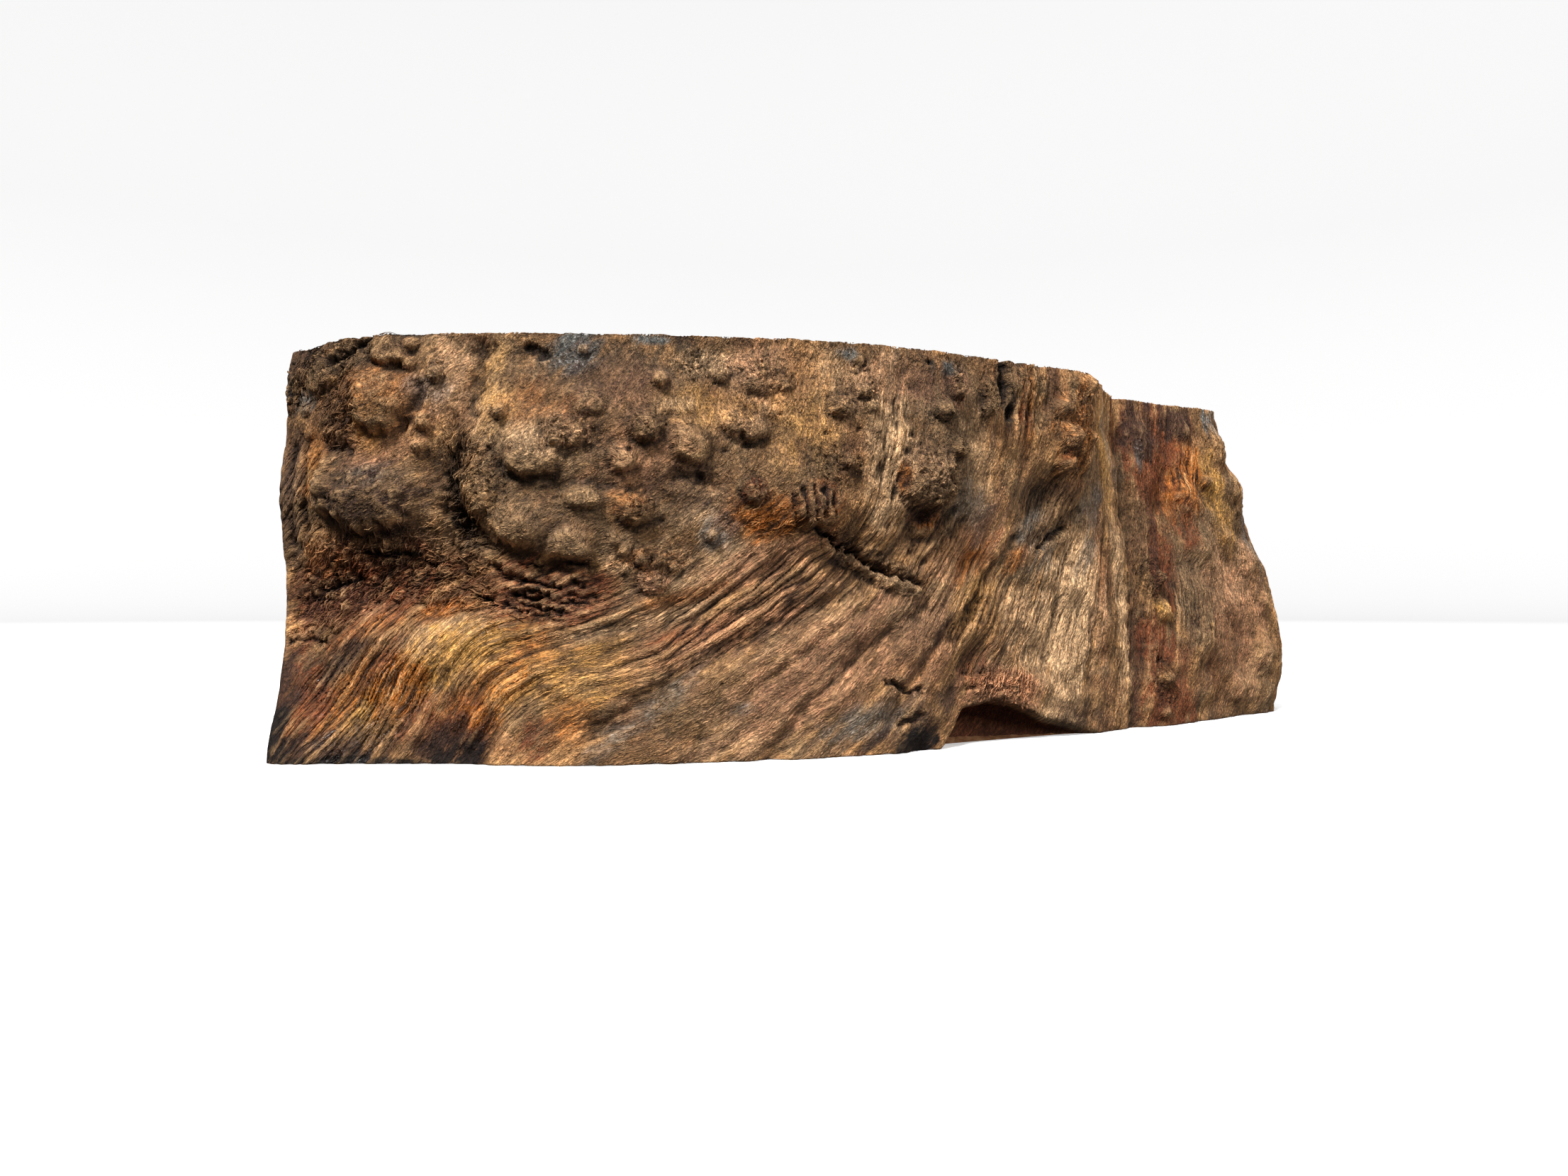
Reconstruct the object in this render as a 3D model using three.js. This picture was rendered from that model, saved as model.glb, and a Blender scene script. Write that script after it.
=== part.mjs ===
// A briar block for pipe making: one solid piece of burl wood. Its front and its right end are the natural
// outside of the burl, with its lumps, furrows and splits. The top, underside, back and left end are sawn flat.
// Millimetres, +Z up. The natural face looks along -Y and the block stands on its sawn underside.
import * as THREE from "three";

// Driving dimensions.
const HEIGHT = 60; // from the sawn underside to the sawn top
const LEFT_END = -73; // x of the sawn left end, from the middle of the viewed face
const BACK = 92; // y of the sawn back, from the foremost line of the face
const FLARE_FOOT = 15; // up to this height the right end keeps the outline of the underside
const ROWS = 36; // facets from the underside to the top
const FACET_WIDTH = 1.5; // along the front of the natural face
const LOBE_FACET_WIDTH = 2.5; // along the smoother lobe at the right end
const LOBE_START = 150; // distance along the face where that lobe begins
const EVEN_LEAN = 0.6; // share of the outline's change that goes evenly with height; the rest eases in and out
const TENSION = 0.5; // of the curve through the outline's stations
const FADE = 1.2; // the relief dies out over this many stations before the sawn back
const LUMP_SHOULDER = { below: 0.62, above: 0.15 }; // where a lump begins to fall, in its own half-widths
const LUMP_TURN = 0.6; // steepness of the change between those two, as a share of the way round
const LUMP_EDGE = 1.2; // where a lump ends, in its own half-widths
const FURROW_BED = 0.1; // a furrow's flat bed and its far edge, in its own half-widths
const FURROW_EDGE = 1.6;

// The natural outline as seen from above, from the left end round to the back, at the underside and at the top.
const OUTLINE = [
  { bottom: [LEFT_END, 8.5], top: [LEFT_END, 9.5] },
  { bottom: [-62, 4.5], top: [-62, 2.8] },
  { bottom: [-47, 2.2], top: [-47, 0.6] },
  { bottom: [-29, 0], top: [-30, 0] },
  { bottom: [-12, 3.6], top: [-13, 1.4] },
  { bottom: [4, 7.6], top: [4, 4] },
  { bottom: [19, 14.2], top: [20, 9.6] },
  { bottom: [33, 24], top: [34, 17] },
  { bottom: [46, 34], top: [47.5, 27.2] },
  { bottom: [56.5, 42], top: [53.5, 36] },
  { bottom: [63, 47.2], top: [59, 47.8] },
  { bottom: [77, 57], top: [70, 54.6] },
  { bottom: [91, 70.5], top: [79.5, 60.8] },
  { bottom: [100.5, 77.5], top: [84.2, 65.4] },
  { bottom: [105.5, 83], top: [87, 76] },
  { bottom: [105, BACK], top: [86.5, BACK] },
];

// Broad swells and hollows: centre x and height z, half-widths along and up, lean in degrees, and rise.
const SWELLS = [
  { x: -73, z: -1, along: 15, up: 10, lean: 0, rise: 5.5 },
  { x: -73, z: 38, along: 8, up: 7, lean: 0, rise: 1.8 },
  { x: -72, z: 61, along: 5, up: 4, lean: 0, rise: -2.6 },
  { x: -25, z: 44, along: 21, up: 14, lean: 0, rise: 3.2 },
  { x: -35, z: 34.5, along: 10, up: 6.5, lean: 0, rise: 2.4 },
  { x: -55, z: 49.5, along: 8, up: 9, lean: 0, rise: 2.2 },
  { x: -55, z: 38, along: 10, up: 5.5, lean: 0, rise: 2 },
  { x: -58, z: 26, along: 16, up: 6, lean: 8, rise: -3.8 },
  { x: -35, z: 23.5, along: 10, up: 3.5, lean: -8, rise: -2.2 },
  { x: -47, z: 14, along: 9, up: 6, lean: 50, rise: 1.3 },
  { x: -12, z: 9, along: 20, up: 9, lean: 0, rise: 1.4 },
  { x: 1.5, z: 38, along: 9, up: 7, lean: 0, rise: 2.8 },
  { x: 13.5, z: 48, along: 4, up: 12, lean: 0, rise: 1.2 },
  { x: 24, z: 45, along: 5.5, up: 10, lean: 0, rise: 2.4 },
  { x: 46, z: 51, along: 5.5, up: 9, lean: 0, rise: 2.6 },
  { x: 42, z: 40.5, along: 4.5, up: 3, lean: 20, rise: -1.8 },
  { x: 11, z: 29, along: 9, up: 3.5, lean: -25, rise: -1.9 },
  { x: 21, z: 34, along: 5, up: 3, lean: 20, rise: -2 },
  { x: 31, z: 13, along: 6, up: 5, lean: 50, rise: -1.6 },
  { x: 52, z: 18, along: 6, up: 16, lean: 0, rise: 1.2 },
  { x: 72, z: 38, along: 4.5, up: 20, lean: -8, rise: -1.8 },
  { x: 84, z: 46, along: 7, up: 9, lean: -30, rise: 1.6 },
  { x: 84, z: 18, along: 7, up: 14, lean: -10, rise: 1.4 },
  { x: 106, z: -1, along: 9, up: 6, lean: 0, rise: -2.4 },
  { x: 21, z: -1, along: 4, up: 3, lean: 0, rise: -1.2 },
];

// Burl lumps: centre, half-width, half-height and rise. Each is steep along its lower edge and eases off above.
const LUMPS = [
  { x: -66.5, z: 56, along: 4, up: 3.5, rise: 1.6 },
  { x: -54.5, z: 56, along: 3.6, up: 2.8, rise: 1.5 },
  { x: -48.5, z: 55, along: 2.6, up: 2.4, rise: 1.2 },
  { x: -55, z: 48.5, along: 4.8, up: 4.8, rise: 2.4 },
  { x: -67, z: 48, along: 3.6, up: 4, rise: 1.4 },
  { x: -65, z: 38, along: 4, up: 3, rise: 1.5 },
  { x: -57, z: 36.5, along: 6, up: 3.6, rise: 1.7 },
  { x: -39.5, z: 49, along: 2.4, up: 2.8, rise: 1.5 },
  { x: -35, z: 42.5, along: 4.8, up: 3.6, rise: 2.7 },
  { x: -30.5, z: 47.5, along: 4, up: 3.2, rise: 1.5 },
  { x: -22.5, z: 42.8, along: 2.9, up: 2.7, rise: 1.9 },
  { x: -19, z: 48, along: 3, up: 3.2, rise: 1.5 },
  { x: -13.5, z: 43.5, along: 3.8, up: 4, rise: 2.4 },
  { x: -6, z: 47.5, along: 3.6, up: 3.2, rise: 2.2 },
  { x: -3.5, z: 54, along: 3.8, up: 3.2, rise: 1.4 },
  { x: -17, z: 54.5, along: 2.6, up: 2.4, rise: 1.2 },
  { x: 9, z: 52, along: 3.4, up: 3.4, rise: 1.3 },
  { x: 3.5, z: 36.5, along: 4.6, up: 3.6, rise: 1.8 },
  { x: -4, z: 38, along: 2.6, up: 2.6, rise: 1.4 },
  { x: 24.5, z: 48, along: 3, up: 4.2, rise: 2 },
  { x: 23, z: 40, along: 4.2, up: 3.6, rise: 2.2 },
  { x: 23.5, z: 56, along: 2.6, up: 3.6, rise: 1.3 },
  { x: 31, z: 55, along: 2.4, up: 4, rise: 1.6 },
  { x: 45.5, z: 49, along: 4, up: 6, rise: 2.4 },
  { x: 46.5, z: 57.5, along: 3.2, up: 2.8, rise: 1.6 },
  { x: -35.5, z: 33, along: 4.6, up: 3.3, rise: 2.4 },
  { x: -29, z: 31.2, along: 3.2, up: 3, rise: 2.8 },
  { x: -20.5, z: 35.5, along: 3.2, up: 2.6, rise: 1.7 },
  { x: -18.5, z: 25.5, along: 3.6, up: 2.6, rise: 1.4 },
  { x: -25, z: 38.5, along: 3.6, up: 2.6, rise: 1.8 },
  { x: -42, z: 38.5, along: 3, up: 4, rise: 1.4 },
  { x: 70, z: 27.5, along: 3, up: 3.4, rise: 1.5 },
  { x: 71, z: 9, along: 2.8, up: 3, rise: 1.6 },
  { x: 66, z: 53, along: 3.4, up: 4, rise: 1.2 },
  { x: 76, z: 43, along: 3.6, up: 4.4, rise: 1.3 },
  { x: 80, z: 33, along: 4, up: 4.6, rise: 1.3 },
  { x: 79, z: 15, along: 3.8, up: 4.2, rise: 1.3 },
  { x: 94, z: 31, along: 4, up: 4.2, rise: 1.4 },
  { x: 88, z: 22, along: 4, up: 3.6, rise: 1.3 },
  { x: 83, z: 53, along: 4.2, up: 4.2, rise: 1.8 },
  { x: 89, z: 44.5, along: 3.4, up: 4.6, rise: 1.7 },
  { x: 90, z: 6, along: 3.6, up: 3, rise: 1.4 },
  { x: 98, z: 13, along: 3.6, up: 4.4, rise: 1.6 },
];

// Splits and furrows: the line they follow as [x, z] points, half-width at the mouth and depth.
const FURROWS = [
  { line: [[4, 34], [8, 31], [12, 29], [16.5, 27], [21.5, 25.5]], wide: 1.5, deep: 2.6 },
  { line: [[-41, 57], [-44.5, 44], [-46, 40.5], [-45.5, 36.5], [-44, 32.5]], wide: 2, deep: 2 },
  { line: [[-59, 61], [-61, 57], [-65, 54]], wide: 1.5, deep: 1.8 },
  { line: [[-68, 28.5], [-60, 27], [-50, 29]], wide: 1.6, deep: 1.4 },
  { line: [[47, 40], [43.5, 35], [40, 30]], wide: 1.8, deep: 2 },
  { line: [[34.5, 61], [34.5, 54], [36, 48]], wide: 1.6, deep: 2.2 },
  { line: [[4, 29], [-8, 24.5], [-22, 19.5], [-38, 16]], wide: 2, deep: 1 },
  { line: [[10, 24.5], [-2, 19], [-14, 12.5], [-26, 5]], wide: 2.2, deep: 1.2 },
  { line: [[22, 22], [12, 15.5], [2, 6], [-3, -1]], wide: 2, deep: 1 },
  { line: [[34, 43], [30, 36], [25, 30]], wide: 1.8, deep: 1.2 },
  { line: [[37, 33], [31, 25], [28, 17]], wide: 1.8, deep: 1.1 },
  { line: [[50, 38], [46, 26], [44, 12]], wide: 1.8, deep: 1.1 },
  { line: [[56, 36], [53, 22], [52, 4]], wide: 1.8, deep: 1.1 },
  { line: [[60.5, 61], [62, 44], [64, 26], [64, -1]], wide: 2.4, deep: 1.8 },
  { line: [[-66, 10], [-58, 18.5]], wide: 2, deep: 1 },
  { line: [[-39, 3], [-31, 13]], wide: 2, deep: 0.9 },
  { line: [[31, 23], [22, 14], [16, 5]], wide: 2, deep: 1 },
  { line: [[66, 27], [66, 14]], wide: 2, deep: 0.9 },
  { line: [[71, 40], [73, 56]], wide: 2.2, deep: 0.9 },
  { line: [[-56, 4], [-47, 12.5]], wide: 2, deep: 0.9 },
];

// The undercut hollow in the foot of the face: the arch over it as [x, z] points, and its smooth inner wall.
const HOLLOW = {
  arch: [[24.5, 0], [29, 6.4], [34, 7.4], [38, 6.4], [44, 3.6], [50, 2], [56, 0]],
  wallStart: [26, 33.8],
  wallEnd: [56, 41.5],
  lip: 2.2, // height over which the ceiling under the arch comes forward to the face
};

const smooth = (low, high, value) => {
  const t = THREE.MathUtils.clamp((value - low) / (high - low), 0, 1);
  return t * t * (3 - 2 * t);
};

const mix = (a, b, t) => a + (b - a) * t;

// How far the outline has gone from that of the underside (0) to that of the top (1) at height z.
function leanIn(z) {
  const t = THREE.MathUtils.clamp((z - FLARE_FOOT) / (HEIGHT - FLARE_FOOT), 0, 1);
  return mix(smooth(0, 1, t), t, EVEN_LEAN);
}

// The outline at height z, as a curve that passes through every station of OUTLINE.
function outlineAt(z) {
  const t = leanIn(z);
  const points = OUTLINE.map(
    ({ bottom, top }) => new THREE.Vector3(mix(bottom[0], top[0], t), mix(bottom[1], top[1], t), z),
  );
  return new THREE.CatmullRomCurve3(points, false, "catmullrom", TENSION);
}

const LAST = OUTLINE.length - 1;
const SAMPLES = 400;
const middle = outlineAt(HEIGHT / 2);
// Distance along the face at mid-height for evenly spaced curve parameters.
const RUN = middle.getLengths(SAMPLES);
const FACE_LENGTH = RUN[SAMPLES];

// Value of a rising table at x by straight interpolation.
function lookUp(x, keys, values) {
  let i = 1;
  while (i < keys.length - 1 && keys[i] < x) i++;
  const t = (x - keys[i - 1]) / (keys[i] - keys[i - 1]);
  return mix(values[i - 1], values[i], THREE.MathUtils.clamp(t, 0, 1));
}

const PARAMETERS = RUN.map((_, i) => i / SAMPLES);
const runOf = (u) => lookUp(u, PARAMETERS, RUN);
const parameterOf = (run) => lookUp(run, RUN, PARAMETERS);

// Distance along the face of the point at a given x and height z.
function runAt(x, z) {
  const curve = outlineAt(z);
  const keys = PARAMETERS.map((u) => curve.getPoint(u).x);
  const turn = keys.indexOf(Math.max(...keys));
  return lookUp(x, keys.slice(0, turn + 1), RUN.slice(0, turn + 1));
}

const placed = (feature) => ({ ...feature, run: runAt(feature.x, feature.z) });
const swells = SWELLS.map(placed);
const lumps = LUMPS.map(placed);
const furrows = FURROWS.map((f) => ({ ...f, path: f.line.map(([x, z]) => [runAt(x, z), z]) }));

// A swell is a bell curve over a leaning ellipse.
function swellRise({ run: centre, z: middleZ, along, up, lean, rise }, run, z) {
  const turn = THREE.MathUtils.degToRad(lean);
  const a = (run - centre) * Math.cos(turn) + (z - middleZ) * Math.sin(turn);
  const b = (z - middleZ) * Math.cos(turn) - (run - centre) * Math.sin(turn);
  return rise * Math.exp(-((a / along) ** 2) - (b / up) ** 2);
}

// A lump is a rounded cap: it eases off from its middle upwards, and drops within its last third below.
function lumpRise({ run: centre, z: middleZ, along, up, rise }, run, z) {
  const a = (run - centre) / along;
  const b = (z - middleZ) / up;
  const reach = Math.hypot(a, b);
  if (reach >= LUMP_EDGE) return 0;
  const turn = smooth(-LUMP_TURN, LUMP_TURN, b / Math.max(reach, Number.EPSILON));
  const shoulder = mix(LUMP_SHOULDER.below, LUMP_SHOULDER.above, turn);
  return rise * (1 - smooth(shoulder, LUMP_EDGE, reach));
}

// A furrow is a rounded trough along its line, tapering out at both ends.
function furrowRise({ path, wide, deep }, run, z) {
  let nearest = Infinity;
  for (let i = 1; i < path.length; i++) {
    const [ax, az] = path[i - 1];
    const [bx, bz] = path[i];
    const length2 = (bx - ax) ** 2 + (bz - az) ** 2;
    const t = THREE.MathUtils.clamp(((run - ax) * (bx - ax) + (z - az) * (bz - az)) / length2, 0, 1);
    nearest = Math.min(nearest, Math.hypot(run - mix(ax, bx, t), z - mix(az, bz, t)));
  }
  return -deep * (1 - smooth(FURROW_BED * wide, FURROW_EDGE * wide, nearest));
}

// How far the natural face stands out from its smooth outline, at a distance along it and a height.
function relief(run, z) {
  const raised = swells.reduce((sum, s) => sum + swellRise(s, run, z), 0);
  const budded = lumps.reduce((sum, l) => sum + lumpRise(l, run, z), 0);
  const split = furrows.reduce((deepest, f) => Math.min(deepest, furrowRise(f, run, z)), 0);
  return raised + budded + split;
}

// Share of the way back to the hollow's wall, from 0 on the open face to 1 inside the hollow.
function hollowShare(x, z) {
  const { arch, lip } = HOLLOW;
  if (x <= arch[0][0] || x >= arch[arch.length - 1][0]) return 0;
  const ceiling = lookUp(x, arch.map((p) => p[0]), arch.map((p) => p[1]));
  return 1 - smooth(ceiling - lip, ceiling, z);
}

// A point of the natural face at curve parameter u and height z.
function facePoint(curve, u, z) {
  const base = curve.getPoint(u);
  const tangent = curve.getTangent(u);
  const station = u * LAST;
  const outward = new THREE.Vector2(tangent.y, -tangent.x);
  outward.lerp(new THREE.Vector2(0, -1), 1 - smooth(0, 1, station)).normalize();
  const rise = relief(runOf(u), z) * (1 - smooth(LAST - FADE, LAST, station));
  const x = Math.max(base.x + outward.x * rise, LEFT_END);
  const y = base.y + outward.y * rise;
  const { wallStart, wallEnd } = HOLLOW;
  const wall = mix(wallStart[1], wallEnd[1], (x - wallStart[0]) / (wallEnd[0] - wallStart[0]));
  return [x, mix(y, Math.max(y, wall), hollowShare(x, z)), z];
}

// Distances along the face at which its facets stand: close together in front, wider apart on the lobe.
function facetRuns() {
  const front = Math.round(LOBE_START / FACET_WIDTH);
  const lobe = Math.round((FACE_LENGTH - LOBE_START) / LOBE_FACET_WIDTH);
  const runs = [];
  for (let i = 0; i < front; i++) runs.push((LOBE_START * i) / front);
  for (let i = 0; i <= lobe; i++) runs.push(mix(LOBE_START, FACE_LENGTH, i / lobe));
  return runs;
}

// One closed solid: rows of points round the block at each height, capped flat at the underside and the top.
function blockGeometry() {
  const parameters = facetRuns().map(parameterOf);
  const rows = [];
  for (let j = 0; j <= ROWS; j++) {
    const z = (HEIGHT * j) / ROWS;
    const curve = outlineAt(z);
    rows.push([...parameters.map((u) => facePoint(curve, u, z)), [LEFT_END, BACK, z]]);
  }
  const around = rows[0].length;
  const standingOut = rows.map((row, j) => parameters.map((u) => relief(runOf(u), (HEIGHT * j) / ROWS)));
  const step = (j, i, k) => Math.abs((standingOut[j][i] ?? 0) - (standingOut[j + 1][k] ?? 0));
  const triangles = [];
  for (let j = 0; j < ROWS; j++) {
    for (let i = 0; i < around; i++) {
      const next = (i + 1) % around;
      const [a, b] = [j * around + i, j * around + next];
      const [c, d] = [a + around, b + around];
      // Each facet is split along the diagonal whose ends stand out most alike, so that ridges stay whole.
      if (step(j, i, next) <= step(j, next, i)) triangles.push(a, b, d, a, d, c);
      else triangles.push(a, b, c, b, d, c);
    }
  }
  const cap = (j, facesUp) => {
    const contour = rows[j].map(([x, y]) => new THREE.Vector2(x, y));
    for (const [a, b, c] of THREE.ShapeUtils.triangulateShape(contour, [])) {
      const corners = facesUp ? [a, b, c] : [a, c, b];
      triangles.push(...corners.map((k) => j * around + k));
    }
  };
  cap(0, false);
  cap(ROWS, true);
  const geometry = new THREE.BufferGeometry();
  geometry.setAttribute("position", new THREE.Float32BufferAttribute(rows.flat(2), 3));
  geometry.setIndex(triangles);
  return geometry;
}

// The origin is the middle of the block's box, on the plane that it rests on.
function centred(geometry) {
  geometry.computeBoundingBox();
  const centre = geometry.boundingBox.getCenter(new THREE.Vector3());
  geometry.translate(-centre.x, -centre.y, 0);
  geometry.computeVertexNormals();
  return geometry;
}

const weatheredBriar = new THREE.MeshStandardMaterial({ color: 0x9a7450, roughness: 0.8, metalness: 0 });
const briarBlock = new THREE.Mesh(centred(blockGeometry()), weatheredBriar);
briarBlock.name = "briar_block";

const block = new THREE.Group();
block.add(briarBlock);

export default block;
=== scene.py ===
"""A briar block for pipe making: one piece of burl with its natural face in front and sawn faces round it.

The face is one surface of two parameters, the distance along it and the height. Swells, lumps, furrows,
pits and grain ridges push it in and out, and stains and torn fibres dress it. Lists are in millimetres, with
x from the middle of the viewed face, y from its foremost line and z up from the sawn underside.
"""

from __future__ import annotations

import logging
import math
from dataclasses import dataclass, field
from enum import Enum
from functools import partial

import bpy
import numpy as np
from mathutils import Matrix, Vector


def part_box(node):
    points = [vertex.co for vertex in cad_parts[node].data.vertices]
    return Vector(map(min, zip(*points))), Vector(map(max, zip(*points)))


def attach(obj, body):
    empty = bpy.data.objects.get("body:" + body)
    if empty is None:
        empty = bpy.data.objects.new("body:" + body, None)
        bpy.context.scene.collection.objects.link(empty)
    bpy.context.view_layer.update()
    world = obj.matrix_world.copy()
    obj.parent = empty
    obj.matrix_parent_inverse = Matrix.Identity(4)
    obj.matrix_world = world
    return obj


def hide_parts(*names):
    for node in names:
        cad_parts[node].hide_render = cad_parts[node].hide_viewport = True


Array = np.ndarray
Point = tuple[float, float]
Socket = bpy.types.NodeSocket

MM = 0.001
SEED = 1385
log = logging.getLogger("briar_block")

# The block's driving sizes, as in its construction.
HEIGHT = 60.0
LEFT_END = -73.0
BACK = 92.0
FLARE_FOOT = 15.0

# The photograph: its width and height, the level of the horizon and the lens, all in its own pixels.
PHOTO_WIDTH = 2212
PHOTO_HEIGHT = 1659
HORIZON_ROW = 852
FOCAL_LENGTH = 1600
# The nearest vertical line of the face measures this many pixels from the underside to the top.
NEAREST_HEIGHT = 611
EYE_LEVEL = 0.375  # height of the camera, as a share of the block's height


def linear(hex_colour: str) -> tuple[float, float, float, float]:
    """Turn an sRGB hex colour into the linear colour that a shader takes.

    Args:
        hex_colour: six hex digits after a hash mark.

    Returns:
        Red, green, blue and an alpha of 1.
    """
    shares = [int(hex_colour[i : i + 2], 16) / 255 for i in (1, 3, 5)]
    return (*(s / 12.92 if s <= 0.04045 else ((s + 0.055) / 1.055) ** 2.4 for s in shares), 1.0)


def smooth(low: float, high: float, value: Array) -> Array:
    """Rise from 0 at low to 1 at high along the cubic 3t^2 - 2t^3; low may be the larger one."""
    t = np.clip((value - low) / (high - low), 0, 1)
    return t * t * (3 - 2 * t)


def unit(pattern: Array) -> Array:
    """Shift and scale a pattern to a mean of 0 and a standard deviation of 1."""
    return (pattern - pattern.mean()) / pattern.std()


class GradientNoise:
    """Seeded gradient noise on a plane, about -1 to 1, with one swing about every 2 units."""

    def __init__(self, seed: int) -> None:
        """Draw the slopes of the lattice points."""
        self.turn = np.random.default_rng(seed).uniform(0, 2 * math.pi, (256, 256))

    def at(self, x: Array, y: Array) -> Array:
        """Blend the slopes of the four lattice corners by the quintic 6t^5 - 15t^4 + 10t^3.

        Args:
            x: first coordinate of every point.
            y: second coordinate of every point.

        Returns:
            The noise at every point.
        """
        column, row = np.floor(x).astype(int), np.floor(y).astype(int)
        across, up = x - column, y - row
        ease_x = across**3 * (across * (across * 6 - 15) + 10)
        ease_y = up**3 * (up * (up * 6 - 15) + 10)

        def corner(right: int, above: int) -> Array:
            """Height of one corner's slope at every point."""
            turn = self.turn[(column + right) & 255, (row + above) & 255]
            return np.cos(turn) * (across - right) + np.sin(turn) * (up - above)

        below = corner(0, 0) + ease_x * (corner(1, 0) - corner(0, 0))
        above = corner(0, 1) + ease_x * (corner(1, 1) - corner(0, 1))
        return 1.6 * (below + ease_y * (above - below))

    def layered(self, x: Array, y: Array, layers: int) -> Array:
        """Add finer layers, each twice as fine and half as high as the one before.

        Args:
            x: first coordinate of every point.
            y: second coordinate of every point.
            layers: how many are added.

        Returns:
            The sum at every point.
        """
        total = np.zeros(np.broadcast(x, y).shape)
        for k in range(layers):
            total += self.at(x * 2**k + 17.3 * k, y * 2**k - 9.1 * k) / 2**k
        return total


@dataclass(frozen=True)
class Outline:
    """The natural outline in plan: stations at the underside and at the top, joined by a smooth curve."""

    bottom: tuple[Point, ...] = (
        (LEFT_END, 8.5), (-62, 4.5), (-47, 2.2), (-29, 0), (-12, 3.6), (4, 7.6), (19, 14.2), (33, 24),
        (46, 34), (56.5, 42), (63, 47.2), (77, 57), (91, 70.5), (100.5, 77.5), (105.5, 83), (105, BACK),
    )
    top: tuple[Point, ...] = (
        (LEFT_END, 9.5), (-62, 2.8), (-47, 0.6), (-30, 0), (-13, 1.4), (4, 4), (20, 9.6), (34, 17),
        (47.5, 27.2), (53.5, 36), (59, 47.8), (70, 54.6), (79.5, 60.8), (84.2, 65.4), (87, 76), (86.5, BACK),
    )
    samples: int = 400
    even_share: float = 0.6  # of the flare grows evenly with height, and the rest as 3t^2 - 2t^3

    def weights(self, along: Array, slope: bool) -> Array:
        """Catmull-Rom weights of the stations, and of one mirrored station past each end.

        Args:
            along: curve parameters from 0 to 1.
            slope: whether the curve's direction is wanted, and not its place.

        Returns:
            One row of weights for every parameter.
        """
        last = len(self.bottom) - 1
        station = np.clip(along * last, 0, last - 1e-9)
        k = station.astype(int)
        t = station - k
        if slope:
            basis = (-3 * t**2 + 4 * t - 1, 9 * t**2 - 10 * t, -9 * t**2 + 8 * t + 1, 3 * t**2 - 2 * t)
        else:
            basis = (-(t**3) + 2 * t**2 - t, 3 * t**3 - 5 * t**2 + 2, -3 * t**3 + 4 * t**2 + t, t**3 - t**2)
        table = np.zeros((len(along), last + 3))
        for shift, part in enumerate(basis):
            table[np.arange(len(along)), k + shift] += part / 2
        return table

    def plan(self, along: Array, height: Array, slope: bool = False) -> Array:
        """Places (or directions) in plan, the stations drawn from the underside's to the top's by height.

        Args:
            along: curve parameters from 0 to 1.
            height: heights over the underside.
            slope: whether the curve's direction is wanted.

        Returns:
            An array of heights by parameters by 2.
        """
        t = np.clip((height - FLARE_FOOT) / (HEIGHT - FLARE_FOOT), 0, 1)
        share = (self.even_share * t + (1 - self.even_share) * t * t * (3 - 2 * t))[:, None, None]
        low, high = np.array(self.bottom, float), np.array(self.top, float)
        stations = low + (high - low) * share
        before = 2 * stations[:, :1] - stations[:, 1:2]
        after = 2 * stations[:, -1:] - stations[:, -2:-1]
        stations = np.concatenate([before, stations, after], axis=1)
        return np.einsum("ns,hsk->hnk", self.weights(along, slope), stations)

    def runs(self) -> Array:
        """Distances along the outline at mid height, for evenly spaced curve parameters."""
        line = self.plan(np.linspace(0, 1, self.samples + 1), np.array([HEIGHT / 2]))[0]
        return np.concatenate([[0], np.cumsum(np.hypot(*np.diff(line, axis=0).T))])

    def length(self) -> float:
        """Length of the outline at mid height."""
        return float(self.runs()[-1])

    def parameter(self, run: Array) -> Array:
        """Curve parameters at given distances along the outline."""
        return np.interp(run, self.runs(), np.linspace(0, 1, self.samples + 1))

    def run_at(self, x: float, z: float) -> float:
        """Distance along the outline of the face point with a given x and height.

        Args:
            x: place across the viewed face.
            z: height over the underside.

        Returns:
            The distance along the outline.
        """
        line = self.plan(np.linspace(0, 1, self.samples + 1), np.array([float(z)]))[0, :, 0]
        turn = int(line.argmax())
        return float(np.interp(x, line[: turn + 1], self.runs()[: turn + 1]))


@dataclass(frozen=True)
class Spot:
    """An oval place on the face: centre, half-widths along and up, a lean in degrees, and how much of it."""

    x: float
    z: float
    along: float
    up: float
    amount: float
    lean: float = 0.0


@dataclass(frozen=True)
class Groove:
    """A split, furrow or, with a depth below 0, ridge: the points that it follows, half-width and depth."""

    line: tuple[Point, ...]
    wide: float
    deep: float


@dataclass(frozen=True)
class Stroke:
    """The way the fibres run at one place of the face, in degrees above the line to the right."""

    x: float
    z: float
    angle: float


def spots(*rows: tuple[float, ...]) -> tuple[Spot, ...]:
    """Make ovals of rows that give a Spot's fields in their order."""
    return tuple(Spot(*row) for row in rows)


def grooves(*rows: tuple[tuple[Point, ...], float, float]) -> tuple[Groove, ...]:
    """Make grooves of rows that give a Groove's fields in their order."""
    return tuple(Groove(*row) for row in rows)


def strokes(*rows: tuple[float, float, float]) -> tuple[Stroke, ...]:
    """Make strokes of rows that give a Stroke's fields in their order."""
    return tuple(Stroke(*row) for row in rows)


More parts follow.
